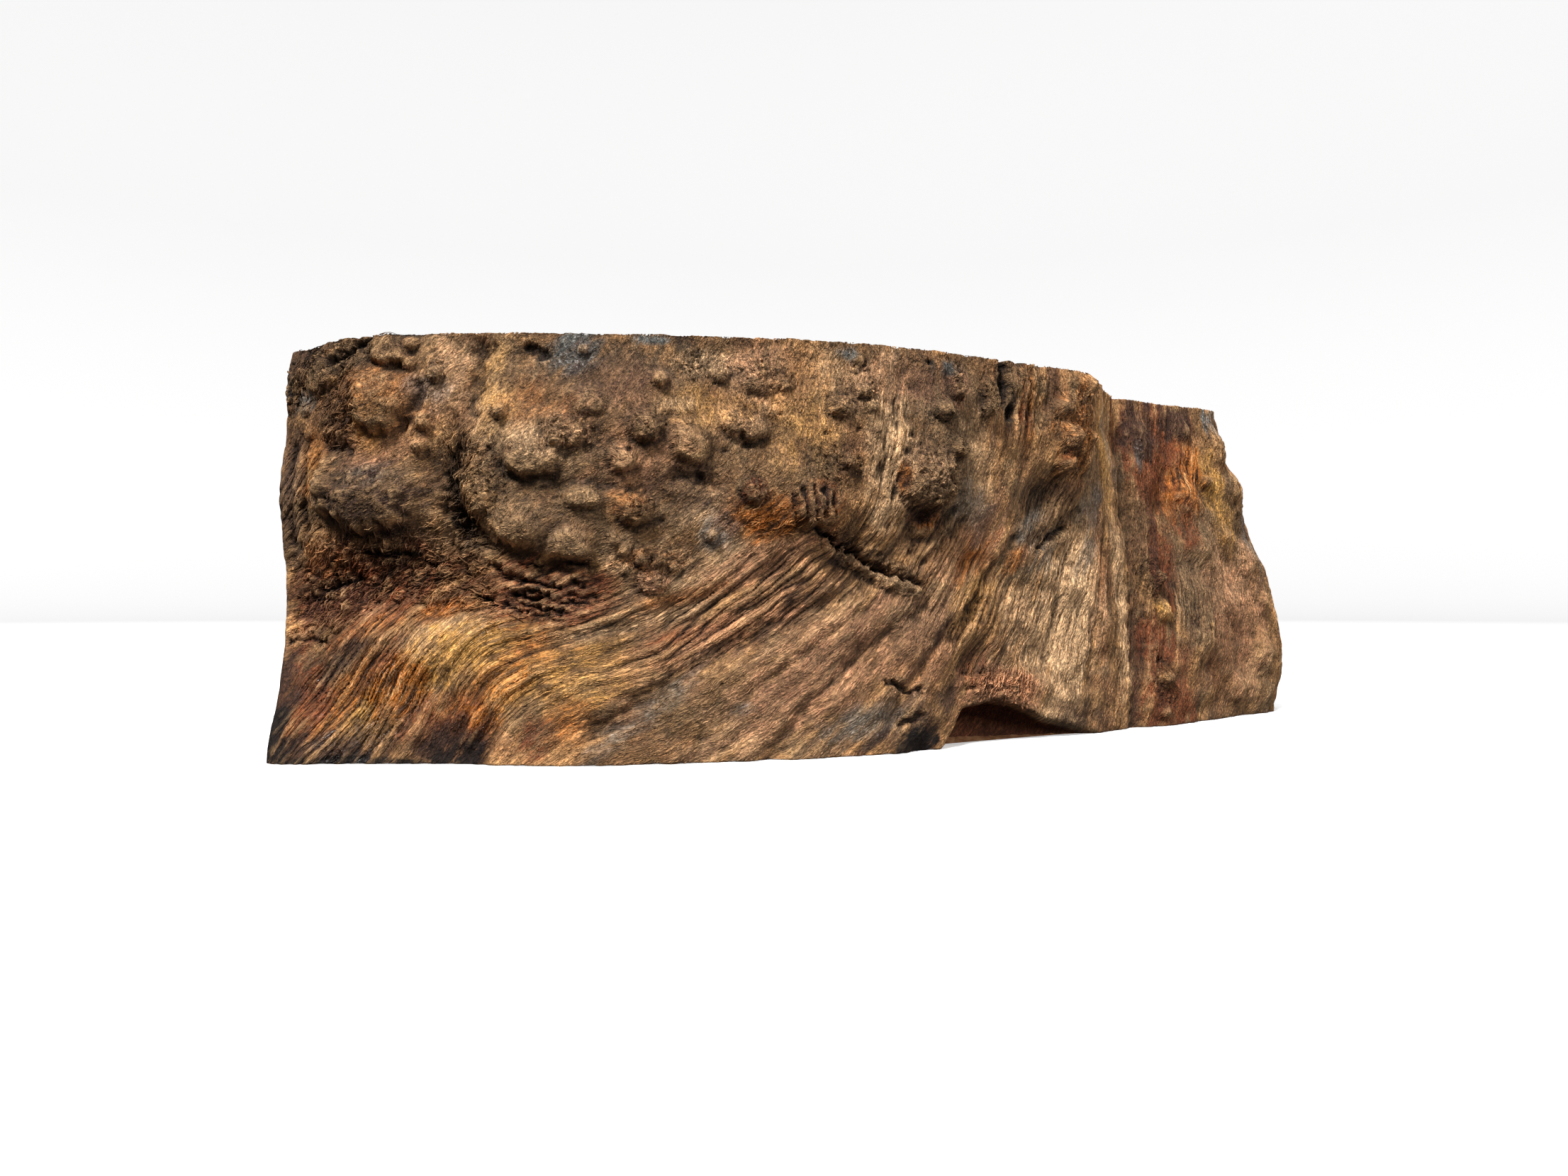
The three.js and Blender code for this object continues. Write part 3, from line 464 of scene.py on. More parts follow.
# Where each stain lies, with its strength.
STAINS: dict[Stain, tuple[Spot, ...]] = {
    Stain.DUN: spots(
        (-26, 44, 22, 13, 0.5), (-57, 39, 9, 7, 0.7), (-4, 46, 14, 11, 0.1), (4, 12, 20, 8, 0.6, 32),
        (84, 28, 14, 20, 1), (22, 19, 7, 5, 0.5, 45), (47, 8, 7, 6, 0.5), (-10, 27, 10, 4, 0.45, 20),
        (85, 28, 9, 10, 0.35), (24, 46, 6, 12, 0.9), (-36, 50, 8, 8, 0.7), (-32, 40, 9, 10, 0.7),
        (-56, 53, 7, 6, 0.7), (22, 54, 10, 5, 1), (-24, 53, 11, 5, 1.2), (21, 18, 8, 4, 0.6, 45),
        (46, 34, 9, 9, 0.5, 60), (92, 18, 10, 14, 0.35), (-17, 8, 12, 4, 0.3, 30), (13, 6, 10, 4, 0.4, 12),
        (-60, 56, 12, 5, 0.4),
    ),
    Stain.PALE: spots(
        (-15.5, 49.8, 3, 1.2, 0.8), (15, 45, 3.6, 11, 0.75), (46, 3.2, 5.4, 1.6, 0.9, -14),
        (6, 15, 20, 6, 0.2, 32), (-6, 5, 9, 5, 0.3, 30), (13.5, 47, 2.6, 9, 0.6), (48, 21, 7, 13, 1, -12),
        (-40.5, 50, 3.6, 8, 0.4), (26, 24, 9, 4, 0.3, 50), (-30, 31, 3, 2, 0.4),
        (-19, 28.6, 6, 2.6, 1.2, -10), (-33, 45, 5, 3, 0.5), (-9, 56, 8, 2, 0.6), (-71, 36, 1.8, 8, 0.6),
        (-12, 27, 12, 2.6, 0.25, 22), (59.5, 28, 2.4, 24, 0.6, 6), (-45, 54, 4, 5, 0.4),
        (88, 29, 7, 7, 0.5), (30, 31, 7, 3, 1.1, 40), (-12, 36, 4, 5, 0.4, 60), (-4, 51, 6, 4, 0.3),
        (8, 54, 6, 5, 0.35), (47, 54, 4, 5, 0.4), (11, 28.6, 5, 1, 1.8, -27), (18, 25.3, 3.6, 1, 1.8, -18),
        (35, 12, 6, 2, 0.4, -12), (40, 18, 5, 10, 0.5, 30), (-3.7, 54.2, 5, 3.4, 0.5), (-6, 48, 4, 3, 0.5),
        (20.7, 41, 4, 4, 0.3), (-22, 20, 12, 1.4, 0.5, 14), (-48, 18, 7, 2, 0.5, 20), (92, 10, 7, 5, 0.35),
        (-52, 31, 7, 1, 0.35), (30, 44, 3, 9, 0.3), (-25, 13, 9, 2, 0.25, 32),
    ),
    Stain.ROSE: spots(
        (-18.5, 25.7, 2.6, 1.8, 0.8), (-20, 43, 7, 5, 0.35), (-57, 44, 6, 3, 0.5), (36, 8, 8, 3, 1),
        (-60, 28.7, 2.6, 0.9, 0.7), (-52.4, 30.9, 2.4, 0.9, 0.7), (6, 13, 18, 6, 0.5, 30),
        (21, 16, 9, 6, 0.35, 45), (89, 24, 10, 12, 0.5), (-6, 20, 14, 3, 0.5, 25),
        (-4, 28, 10, 2.6, 0.5, 22), (30, 33, 8, 4, 0.4, 40), (-45, 53, 4, 6, 0.25), (-2.6, 54, 7, 5, 0.5),
        (-22, 52, 6, 4, 0.3), (36, 9, 8, 3, 1.2, -10), (54, 27, 3, 12, 0.35, -6), (-66, 21, 7, 2, 0.4, 15),
        (-58, 22, 8, 2, 0.5, 8), (16, 55, 8, 3, 0.35), (-3.7, 54.2, 5, 3.4, 0.5), (-6, 48, 4, 3, 0.4),
        (20.7, 41, 5, 5, 0.2), (-29, 46, 4, 3, 0.3), (30, 31, 7, 4, 0.9, 40), (-34, 23, 8, 4, 0.6, -12),
        (25, 55, 3, 3, 0.6),
    ),
    Stain.OCHRE: spots(
        (-38, 14.5, 7, 5.4, 0.9, 40), (81.6, 46, 4.4, 5, 0.95), (70.7, 21.5, 2.6, 2.4, 0.7),
        (70.1, 9, 2, 2, 0.8), (-48, 15, 7, 4, 0.8, 30), (30, 24, 6, 3, 0.4, 50), (-61, 8.5, 7, 3, 0.7, 45),
        (56, 46, 2.8, 9, 0.5, 15), (-28, 12, 7, 4, 0.5, 30), (-40, 52, 3, 6, 0.4), (-57, 47, 3, 4, 0.35),
        (86, 38, 4, 6, 0.5), (-67, 40, 2, 5, 0.4), (-10, 50, 8, 3, 0.3), (2, 50, 5, 7, 0.3),
    ),
    Stain.AMBER: spots(
        (-62, 9, 9, 2.2, 0.8, 50), (-56, 51, 7, 5, 0.35), (-67, 45, 3, 4, 0.4), (-34, 50, 6, 3, 0.25),
        (-54.5, 11, 4.4, 4.4, 0.95, 50), (-44, 6.5, 4.6, 4, 0.8, 45), (-38, 13, 8, 3, 0.5, 40),
        (-3, 34.6, 6.4, 2.8, 1), (4.4, 36.6, 3.4, 2.8, 0.7), (-67.3, 38.3, 1.6, 1.6, 0.8),
        (17, 41, 0.8, 2.2, 0.9), (29.7, 29.3, 3, 1.4, 0.9, 35), (37.5, 29.6, 3, 1.4, 0.8, 40),
        (73, 48, 10, 8, 1.4), (46.8, 50.5, 5, 8, 0.75), (-19, 28.6, 5, 1.8, 0.5),
        (-27.7, 57.7, 1, 0.9, 0.8), (-66, 27, 5, 3, 0.5), (-70, 6, 3.4, 6, 0.7), (22, 35, 3, 1.6, 0.7),
        (-22, 36, 3, 2, 0.4), (-48, 21.6, 6, 1.2, 0.6, 10), (60, 56, 2, 5, 0.6), (30, 31, 5, 3, 0.5, 40),
        (-30, 6, 4, 3, 0.5, 50), (-16, 23, 7, 1.2, 0.4, 16), (-58, 19.5, 6, 1.6, 0.5, 20),
        (38, 53, 2, 5, 0.4),
    ),
    Stain.RUST: spots(
        (68, 53, 9, 8, 1.4), (73, 53, 5, 4, 0.9), (74, 57, 6, 3, 0.7), (68, 46, 5, 7, 1.2),
        (70.5, 31, 4, 8, 1.3), (68.5, 14, 5, 6, 1), (76, 38, 3, 5, 0.7), (-34.6, 3.3, 2.6, 3.4, 0.8),
        (71, 5, 7, 6, 1), (88, 11, 10, 7, 0.4), (-60, 27, 14, 5, 0.6, 4), (4.1, 36.5, 4, 3.2, 0.45),
        (-33.2, 23.6, 10, 4.6, 0.75, -4), (-4.5, 38.3, 1.8, 1.7, 0.9), (37.3, 51.6, 1.6, 1.8, 0.8),
        (21, 35.4, 2.2, 0.9, 0.8), (21.8, 1, 2.8, 1.8, 0.9), (-66, 22.6, 7, 3.4, 0.8, 10),
        (-58, 24, 7, 2.6, 0.6, 6), (-16, 17.4, 7, 1.2, 0.5, 18), (9, 30, 6, 1.6, 0.5, -26),
        (-70, 8, 7, 9, 0.9), (31, 12, 3, 3, 0.6), (-57, 14, 6, 1.2, 0.6, 46), (-52, 6, 5, 1.4, 0.8, 55),
        (-43, 10, 5, 1.6, 0.4, 60), (-35, 17, 5, 1.4, 0.5, 20), (74, 9, 4, 6, 0.5), (-72, 1.6, 5, 3.4, 0.9),
        (-46.3, 3.4, 5.6, 4, 1.1), (3.4, 38.6, 2.6, 1, 0.5), (-62, 18, 4, 2, 0.5, 40),
        (44.6, 48, 1.6, 4, 0.4), (93, 40, 2, 5, 0.4),
    ),
    Stain.SLATE: spots(
        (-29.1, 57.1, 3.8, 2.8, 0.9), (-18, 59.2, 3, 0.8, 0.9), (9.3, 58.3, 1.6, 1.1, 0.8),
        (24.1, 57.5, 2.4, 1.4, 0.7), (12.4, 4.7, 8, 2.6, 0.35, 12), (65, 50.1, 1.2, 2.6, 0.8),
        (-69.1, 51.2, 1.8, 1.7, 0.6), (-57, 40, 4, 2, 0.3), (-19.5, 7.2, 10, 1.6, 0.3, 37),
        (-6.2, 7.5, 1.6, 0.9, 0.6, 20), (82, 57.3, 4.6, 2.4, 0.7), (57, 50, 8, 1.6, 0.3, -60),
        (52.5, 38.6, 4, 2.6, 0.5, 50), (51, 31, 5, 1.6, 0.4, 55), (40, 35, 4, 1.6, 0.4, 40),
        (-9.5, 33, 3, 3, 0.45), (94, 36, 3, 8, 0.45), (42, 32, 5, 4, 0.25, 50), (-49, 52, 3, 2.4, 0.4),
        (29, 37, 3, 5, 0.35, 40),
    ),
    # Umber is dark brown wood, and in places painted shade: in the pocket at (-45.4, 37) and under lumps at
    # (-25, 39), (21, 36) and (45.9, 41.3).
    Stain.UMBER: spots(
        (-63, 49.4, 3.6, 5.4, 0.6), (-45.4, 37, 2.4, 5, 0.35, 10), (-14.6, 38.6, 5, 3.6, 0.6),
        (-71, 1, 11, 3.4, 1.8), (-73, 8, 4, 8, 1.3), (-70, 58, 6, 4, 0.6), (-58, 36.5, 8, 5, 0.8),
        (-31, 33, 5, 3, 0.35), (66, 54, 8, 5, 0.6), (21, 18, 7, 4, 0.35, 45), (-71.4, 38, 3, 9, 1),
        (14, 18, 12, 2, 0.3, 40), (-62.9, 14.4, 5, 1.5, 0.95, 44), (24.8, 18.4, 3.4, 1.1, 0.8, 54),
        (35.5, 12, 5, 1, 0.3, -15), (-12, 40.2, 2.2, 1.8, 0.6), (17.5, 2, 5.4, 1.8, 0.8),
        (-46.5, 2, 6, 3, 1.4), (66, 36, 3, 7, 0.4), (66, 55, 5, 6, 1.4), (74, 57, 5, 4, 1.5),
        (-66, 24, 6, 3, 0.5), (22, 55, 7, 3, 0.5), (4, 13, 16, 3, 0.35, 32), (50, 3, 6, 2, 0.6),
        (21, 2.6, 3, 4, 1.6), (-24, 54, 10, 4, 0.5), (-46, 3, 5, 3.4, 1), (-71, 30, 2.4, 5, 0.4),
        (4.6, 37.4, 2.6, 2, 0.6), (-67, 21, 5, 2, 0.5, 8), (45.9, 41.3, 3, 1.4, 0.6),
        (21, 36, 3.4, 1.2, 0.5), (-66, 56.4, 6, 2, 0.5), (68.5, 36, 3, 8, 0.5), (-25, 39, 3, 1.2, 0.4),
        (26, 8, 2, 2.4, 0.6), (-74, 1, 4, 4, 0.6), (42, 57, 1, 4, 0.5), (-66.6, 3, 2, 4, 0.4, 40),
        (64, 10, 1.6, 12, 0.4),
    ),
    # Painted shade: black inside splits and pits, in small hollows and along the underside.
    Stain.SOOT: spots(
        (-62, 0.1, 15, 0.9, 1.8), (-74, 2, 5, 5, 1.6), (20, 1, 4, 2.4, 2.4), (-45.5, 1.6, 5, 2.4, 0.7),
        (35, 52.5, 1, 2.4, 1), (33.7, 57, 0.6, 3.6, 0.9), (-47, 0.6, 4.4, 1, 0.8),
        (21.1, 58.1, 1, 0.7, 0.8), (-54.8, 29.8, 3.4, 0.5, 0.8), (-64.8, 25.2, 3, 0.5, 0.85, 18),
        (-60.5, 58, 3.6, 0.6, 0.9, 30), (-34, 57.4, 1.2, 0.7, 0.9), (-45, 38, 0.9, 2.4, 0.5),
        (-72.2, 53.6, 0.8, 1.6, 0.8), (32, 11.8, 2.4, 0.7, 0.6), (-34, 59.6, 3, 0.5, 0.6),
        (20, 5.4, 1.6, 0.5, 0.7),
    ),
}

# Where dried resin leaves the wood glossy.
GLOSS = spots(
    (-52.6, 10.7, 3.6, 3, 1), (-61, 6, 6, 3, 0.8, 45), (-43, 5.8, 4, 2.4, 1), (-0.5, 34, 5, 1.6, 0.8),
    (-44, 17, 6, 2, 0.6, 30), (-36, 3, 4, 2, 0.7), (-68, 12, 3, 3, 0.6), (-55, 9, 14, 6, 0.75, 45),
    (-40, 14, 6, 4, 0.6),
)


@dataclass
class NaturalFace:
    """The weathered outside of the burl, as fields on a grid of distances along it and heights."""

    outline: Outline = field(default_factory=Outline)
    columns: int = 520
    rows: int = 168
    # The undercut hollow in the foot: the arch over it, the ends of its inner wall, how its ceiling closes.
    arch: tuple[Point, ...] = ((24.5, 0), (29, 6.4), (34, 7.4), (38, 6.4), (44, 3.6), (50, 2), (56, 0))
    wall_start: Point = (26, 33.8)
    wall_end: Point = (56, 41.5)
    lip: float = 2.2
    small_lump: float = 2.3  # lumps narrower than this stand out further
    # Distances along the face between which the heart of the burl ends, its knobbly skin ends, and the right
    # lobe begins, and heights between which that skin begins.
    heart_end: Point = (106, 116)
    skin_end: Point = (104, 113)
    lobe_start: Point = (112, 120)
    skin_start: Point = (26, 36)
    back_margin: float = 14.0  # mm before the sawn back over which the relief dies away
    least_fall: float = 0.6  # mm over which a lump's lower side falls at least
    # Speckle for the grain's cords, threads and folds: the two blurs between which its sizes lie.
    cord_blurs: Point = (0.34, 0.95)
    thread_blurs: Point = (0.22, 0.58)
    fold_blurs: Point = (0.8, 2.2)
    reach: float = 15.0  # mm either way over which the speckle is drawn out along the grain
    stride: float = 0.36  # mm between the samples of it
    # Heights of the relief in millimetres: broad waves and ripples, then cords, threads and folds where the
    # grain is ridged most, cords and threads elsewhere, corky crusts, mats and the knobbly skin.
    wave_height: float = 0.7
    ripple_height: float = 0.3
    cord_height: float = 0.36
    thread_height: float = 0.12
    fold_height: float = 0.07
    calm_height: float = 0.06
    crust_height: float = 0.6
    mat_height: float = 0.9
    skin_height: float = 0.1
    pit_share: float = 0.7  # of a pit's listed depth that is kept
    near_gain: float = 1.9  # how strongly small hollows and crests count for the painted shade and highlights, per millimetre
    # A stroke's pull on the grain falls with distance d as 1 / (d^2 + core)^fall.
    stroke_core: float = 9.0
    stroke_fall: float = 1.6
    grain_wander: float = 9.0  # degrees that noise turns the grain
    eye_strength: float = 0.45

    def __post_init__(self) -> None:
        """Lay out the grid, then work out the grain, the relief and the masks."""
        self.run_step = self.outline.length() / (self.columns - 1)
        self.height_step = HEIGHT / (self.rows - 1)
        self.run_line = np.linspace(0, self.outline.length(), self.columns)
        self.height_line = np.linspace(0, HEIGHT, self.rows)
        self.run, self.height = np.meshgrid(self.run_line, self.height_line)
        self.parameters = self.outline.parameter(self.run_line)
        self.plan = self.outline.plan(self.parameters, self.height_line)
        self.lay_grain()
        self.raise_relief()
        self.lay_stains()

    def oval(self, spot: Spot) -> Array:
        """Distance of every grid point from a spot's centre, measured in the spot's own half-widths.

        Args:
            spot: the oval place.

        Returns:
            0 at its centre and 1 on its edge.
        """
        turn = math.radians(spot.lean)
        run = self.run - self.outline.run_at(spot.x, spot.z)
        height = self.height - spot.z
        along = (run * math.cos(turn) + height * math.sin(turn)) / spot.along
        up = (height * math.cos(turn) - run * math.sin(turn)) / spot.up
        return np.hypot(along, up)

    def bell(self, spot: Spot) -> Array:
        """The bell curve exp(-r^2) over a spot, times its amount."""
        return spot.amount * np.exp(-(self.oval(spot) ** 2))

    def softened(self, pattern: Array, radius: float) -> Array:
        """Blur a pattern by a Gaussian, with its edges mirrored.

        Args:
            pattern: values on the grid.
            radius: the Gaussian's standard deviation in millimetres.

        Returns:
            The blurred pattern.
        """
        whole = self.mirrored(pattern)
        waves_up = 2 * math.pi * np.fft.fftfreq(whole.shape[0], self.height_step)[:, None]
        waves_along = 2 * math.pi * np.fft.rfftfreq(whole.shape[1], self.run_step)
        kept = np.exp(-0.5 * radius**2 * (waves_up**2 + waves_along**2))
        return np.fft.irfft2(np.fft.rfft2(whole) * kept, s=whole.shape)[: self.rows, : self.columns]

    def waves(
        self, noise: GradientNoise, size: float, layers: int, right: float = 0.0, above: float = 0.0
    ) -> Array:
        """Layered noise over the face.

        Args:
            noise: the noise that is read.
            size: its size in millimetres.
            layers: how many are added.
            right: shift of the place where it is read, in its own units.
            above: the same upwards.

        Returns:
            The noise on the grid.
        """
        return noise.layered(self.run / size + right, self.height / size + above, layers)

    def speckle(self, seed: int, fine: float, coarse: float) -> Array:
        """Random speckle with the sizes between two blurs, scaled to a standard deviation of 1."""
        white = np.random.default_rng(SEED + seed).standard_normal(self.run.shape)
        return unit(self.softened(white, fine) - self.softened(white, coarse))

    def sample(self, fields: Array, run: Array, height: Array) -> Array:
        """Straight-line interpolation of fields at places off the grid.

        Args:
            fields: an array of fields by rows by columns.
            run: distances along the face.
            height: heights over the underside.

        Returns:
            The fields' values there.
        """
        row = np.clip(height / self.height_step, 0, self.rows - 1.001)
        column = np.clip(run / self.run_step, 0, self.columns - 1.001)
        low, left = row.astype(int), column.astype(int)
        up, across = row - low, column - left
        below = fields[:, low, left] * (1 - across) + fields[:, low, left + 1] * across
        above = fields[:, low + 1, left] * (1 - across) + fields[:, low + 1, left + 1] * across
        return below * (1 - up) + above * up

    def mirrored(self, pattern: Array) -> Array:
        """A pattern with its mirror images above and to the right, so that it repeats without a step."""
        tall = np.concatenate([pattern, pattern[::-1]])
        return np.concatenate([tall, tall[:, ::-1]], axis=1)

    def potential(self, slope_along: Array, slope_up: Array) -> Array:
        """The field whose slopes come nearest to the ones asked for, in the sense of least squares.

        Its Laplacian equals the divergence of the slopes with nothing flowing over the edges, and a cosine
        series solves that: the divergence is mirrored both ways and divided by the Laplacian's eigenvalues.

        Args:
            slope_along: slope wanted along the face.
            slope_up: slope wanted upwards.

        Returns:
            The field, with a mean of 0.
        """
        flow_along = np.pad((slope_along[:, 1:] + slope_along[:, :-1]) / 2, ((0, 0), (1, 1)))
        flow_up = np.pad((slope_up[1:] + slope_up[:-1]) / 2, ((1, 1), (0, 0)))
        source = np.diff(flow_along, axis=1) / self.run_step + np.diff(flow_up, axis=0) / self.height_step
        whole = self.mirrored(source)
        turn_up = 2 * math.pi * np.fft.fftfreq(whole.shape[0])[:, None]
        turn_along = 2 * math.pi * np.fft.fftfreq(whole.shape[1])
        scale_up = (2 * np.cos(turn_up) - 2) / self.height_step**2
        scale = scale_up + (2 * np.cos(turn_along) - 2) / self.run_step**2
        scale[0, 0] = 1
        waves = np.fft.fft2(whole) / scale
        waves[0, 0] = 0
        return np.fft.ifft2(waves).real[: self.rows, : self.columns]

    def lay_grain(self) -> None:
        """Work out how the fibres run: distances along and across the grain, and its direction.

        The strokes' angles are averaged with weights that fall with distance, two potentials follow that
        direction and its normal, and each eye adds a bell curve to the second one, so that its contours close
        round it.
        """
        total = np.zeros(self.run.shape)
        weight = np.zeros(self.run.shape)
        for stroke in GRAIN:
            away = (self.run - self.outline.run_at(stroke.x, stroke.z)) ** 2 + (self.height - stroke.z) ** 2
            share = (away + self.stroke_core) ** -self.stroke_fall
            total += share * stroke.angle
            weight += share
        wander = self.waves(GradientNoise(SEED + 1), 9, 2)
        angle = np.radians(total / weight + self.grain_wander * wander)
        self.along = self.potential(np.cos(angle), np.sin(angle))
        self.across = self.potential(-np.sin(angle), np.cos(angle))
        for eye in EYES:
            self.across = self.across + self.eye_strength * self.bell(eye) * min(eye.along, eye.up)
        wobble = GradientNoise(SEED + 2)
        self.across = self.across + 0.22 * self.waves(wobble, 5, 2)
        slope_up, slope_along = np.gradient(self.across, self.height_step, self.run_step)
        steep = np.hypot(slope_up, slope_along) + 1e-6
        self.flow_along, self.flow_up = slope_up / steep, -slope_along / steep
        self.across = self.across + 0.14 * self.waves(wobble, 1.3, 2)

    def drawn_out(self, patterns: Array) -> Array:
        """Smear patterns along the grain lines, with weights falling as 1 + cos over the reach either way.

        Args:
            patterns: an array of patterns by rows by columns.

        Returns:
            The smeared patterns, each scaled to a standard deviation of 1.
        """
        steps = int(self.reach / self.stride)
        fields = np.concatenate([np.stack([self.flow_along, self.flow_up]), patterns])
        total = patterns.copy()
        for sense in (1, -1):
            run, height = self.run.copy(), self.height.copy()
            values = fields
            for k in range(1, steps + 1):
                run = run + sense * self.stride * values[0]
                height = height + sense * self.stride * values[1]
                values = self.sample(fields, run, height)
                total += values[2:] * (0.5 + 0.5 * math.cos(math.pi * k / steps))
        return np.stack([unit(layer) for layer in total])

    def distance(self, groove: Groove) -> Array:
        """Distance of every grid point, shaken by noise, from a groove's line, in its half-widths.

        Args:
            groove: the split, furrow or ridge.

        Returns:
            0 on its line and 1 at its half-width.
        """
        points = [(self.outline.run_at(x, z), z) for x, z in groove.line]
        nearest = np.full(self.run.shape, 1e9)
        for (ax, az), (bx, bz) in zip(points, points[1:]):
            length = (bx - ax) ** 2 + (bz - az) ** 2
            right, above = self.shaken_run - ax, self.shaken_height - az
            t = np.clip((right * (bx - ax) + above * (bz - az)) / length, 0, 1)
            nearest = np.minimum(nearest, np.hypot(right - t * (bx - ax), above - t * (bz - az)))
        return nearest / groove.wide

    def gathered(self, spots: tuple[Spot, ...], ragged: Array) -> Array:
        """The greatest of several ragged ovals, each 1 within and 0 past its edge, times its amount.

        Args:
            spots: the oval places.
            ragged: noise that breaks up their edges.

        Returns:
            The mask on the grid.
        """
        most = np.zeros(self.run.shape)
        for spot in spots:
            most = np.maximum(most, spot.amount * smooth(1.4, 0.5, self.oval(spot) + ragged))
        return most

    def raise_lumps(self) -> tuple[Array, Array]:
        """Add up the broad swells, the lumps and the folds.

        A lump falls steeply from a shoulder to a foot on its lower side, and gently on its upper side.

        Returns:
            The relief so far, and the thin crust that the lumps carry.
        """
        relief = sum(self.bell(spot) for spot in SWELLS)
        relief = relief + self.wave_height * self.waves(self.rough, 11, 2)
        relief = relief + self.ripple_height * self.waves(self.rough, 4, 2)
        heartwood = smooth(*self.heart_end[::-1], self.run)
        knotted = np.zeros(self.run.shape)
        for lump in LUMPS:
            oval = self.oval(lump)
            below = (lump.z - self.height) / lump.up / np.maximum(oval, 1e-3)
            under = smooth(-0.2, 0.8, below) * heartwood
            # In half-widths from the centre: the fall starts near it above and two thirds out below, and it
            # ends past the edge, on small lumps too at least the least fall on.
            shoulder = 0.05 + 0.68 * under
            foot = np.maximum(1.35 - 0.15 * under, shoulder + self.least_fall / lump.up)
            rise = lump.amount * (1.15 + 0.1 * heartwood + 0.3 * (lump.along < self.small_lump))
            fall = smooth(0, 1, (oval + 0.5 * self.ragged - shoulder) / (foot - shoulder))
            relief = relief + rise * (1 - fall)
            knotted = np.maximum(knotted, smooth(1.25, 0.7, oval + 0.8 * self.ragged))
        for fold in FOLDS:
            relief = relief - fold.deep * np.exp(-((self.distance(fold) + 0.4 * self.ragged) ** 2))
        return relief, 0.2 * knotted * heartwood

    def raise_ridges(self, relief: Array) -> Array:
        """Add grain ridges: speckle drawn out along the grain and folded at 0.

        The folds give the ridges round backs and thin valleys.

        Args:
            relief: the relief so far.

        Returns:
            The relief with its ridges.
        """
        blurs = (self.cord_blurs, self.thread_blurs, self.fold_blurs)
        speckles = np.stack([self.speckle(11 + k, *pair) for k, pair in enumerate(blurs)])
        self.cord, self.thread, fold = self.drawn_out(speckles)
        self.streak = unit(0.7 * self.cord + 0.6 * self.thread + 0.6 * fold)  # for the colour's streaks
        ridged = np.zeros(self.run.shape)
        for zone in RIDGE_ZONES:
            ridged = np.maximum(ridged, zone.amount * smooth(1.5, 0.3, self.oval(zone)))
        self.ridged = np.minimum(ridged, 1)
        self.valley = (0.25 + 0.75 * ridged) * smooth(0.3, 0.02, np.abs(self.cord)) * (1 - self.crumbled)
        cord_backs = np.minimum(np.abs(self.cord), 2) ** 0.7 - 0.85
        thread_backs = np.minimum(np.abs(self.thread), 2) ** 0.8 - 0.8
        cords = (self.calm_height + self.cord_height * ridged) * cord_backs
        threads = (self.calm_height + self.thread_height * ridged) * thread_backs
        return relief + (1 - 0.7 * self.crumbled) * (cords + threads + self.fold_height * ridged * fold)

    def raise_crusts(self, relief: Array) -> Array:
        """Add corky crusts and mats, and the knobbly skin of the burl between them.

        Crusts are worms of bark parted by the creases where shaken noise crosses 0, and mats and skin are
        creased noise in two sizes.

        Args:
            relief: the relief so far.

        Returns:
            The relief with its crusts, mats and skin.
        """
        plain = (self.run, self.height)
        drift = (self.drift_run, self.drift_height)

        def creased(where: tuple[Array, Array], size: float, right: float = 0.0, above: float = 0.0) -> Array:
            """Noise folded at 0, with a size in millimetres and a shift."""
            return np.abs(self.rough.at(where[0] / size + right, where[1] / size + above))

        crumbs = creased(drift, 1.5) + 0.6 * creased(plain, 0.8, 0, 5)
        skin = creased(drift, 2.3, 9) + 0.5 * creased(plain, 1.2)
        worms = smooth(0.02, 0.3, creased((self.shaken_run, self.shaken_height), 1.15, 3))
        worms = worms * (0.55 + 0.45 * smooth(0.02, 0.25, creased(drift, 0.75, 0, 9)))
        upper = smooth(*self.skin_start, self.height) * smooth(*self.skin_end[::-1], self.run)
        burl = np.maximum(upper, 0.3 * smooth(*self.lobe_start, self.run))
        self.burl = burl * (1 - 0.8 * self.ridged)
        self.creased = np.maximum(self.crumbled, 0.6 * self.matted) * (1 - worms)
        relief = relief + self.crumbled * (self.crust_height * (worms - 0.6) + 0.3 * self.ragged)
        relief = relief + self.skin_height * burl * (1 - self.crumbled) * (skin - 0.45)
        mats = self.mat_height * (crumbs - 0.6) + 0.5 * (skin - 0.45) + 0.7 * self.ragged
        return relief + self.matted * mats

    def open_holes(self, relief: Array) -> Array:
        """Take away the pits and the splits.

        Args:
            relief: the relief so far.

        Returns:
            The relief with its holes.
        """
        for pit in PITS:
            hole = 1 - smooth(0.1, 1.1, self.oval(pit) + 0.9 * self.ragged)
            relief = relief - self.pit_share * pit.amount * hole
        cut = np.zeros(self.run.shape)
        for split in SPLITS:
            opening = 1 - smooth(0.1, 1.6, self.distance(split) + 0.8 * self.ragged)
            cut = np.maximum(cut, split.deep * opening)
        self.cut = smooth(0.4, 1.4, cut)
        return relief - cut

    def raise_relief(self) -> None:
        """Add up how far the face stands out from its smooth outline, in millimetres."""
        self.rough = GradientNoise(SEED + 3)
        # Noise that breaks up edges, and places moved by noise: drifting slowly, or shaken finely.
        self.ragged = 0.3 * self.waves(self.rough, 1.6, 3)
        self.drift_run = self.run + 1.2 * self.rough.layered(self.height / 5, self.run / 5, 2)
        self.drift_height = self.height + 1.2 * self.waves(self.rough, 5, 2, 40)
        self.shaken_run = self.run + 0.5 * self.waves(self.rough, 1.5, 3, 7)
        self.shaken_height = self.height + 0.5 * self.waves(self.rough, 1.5, 3, 0, 31)

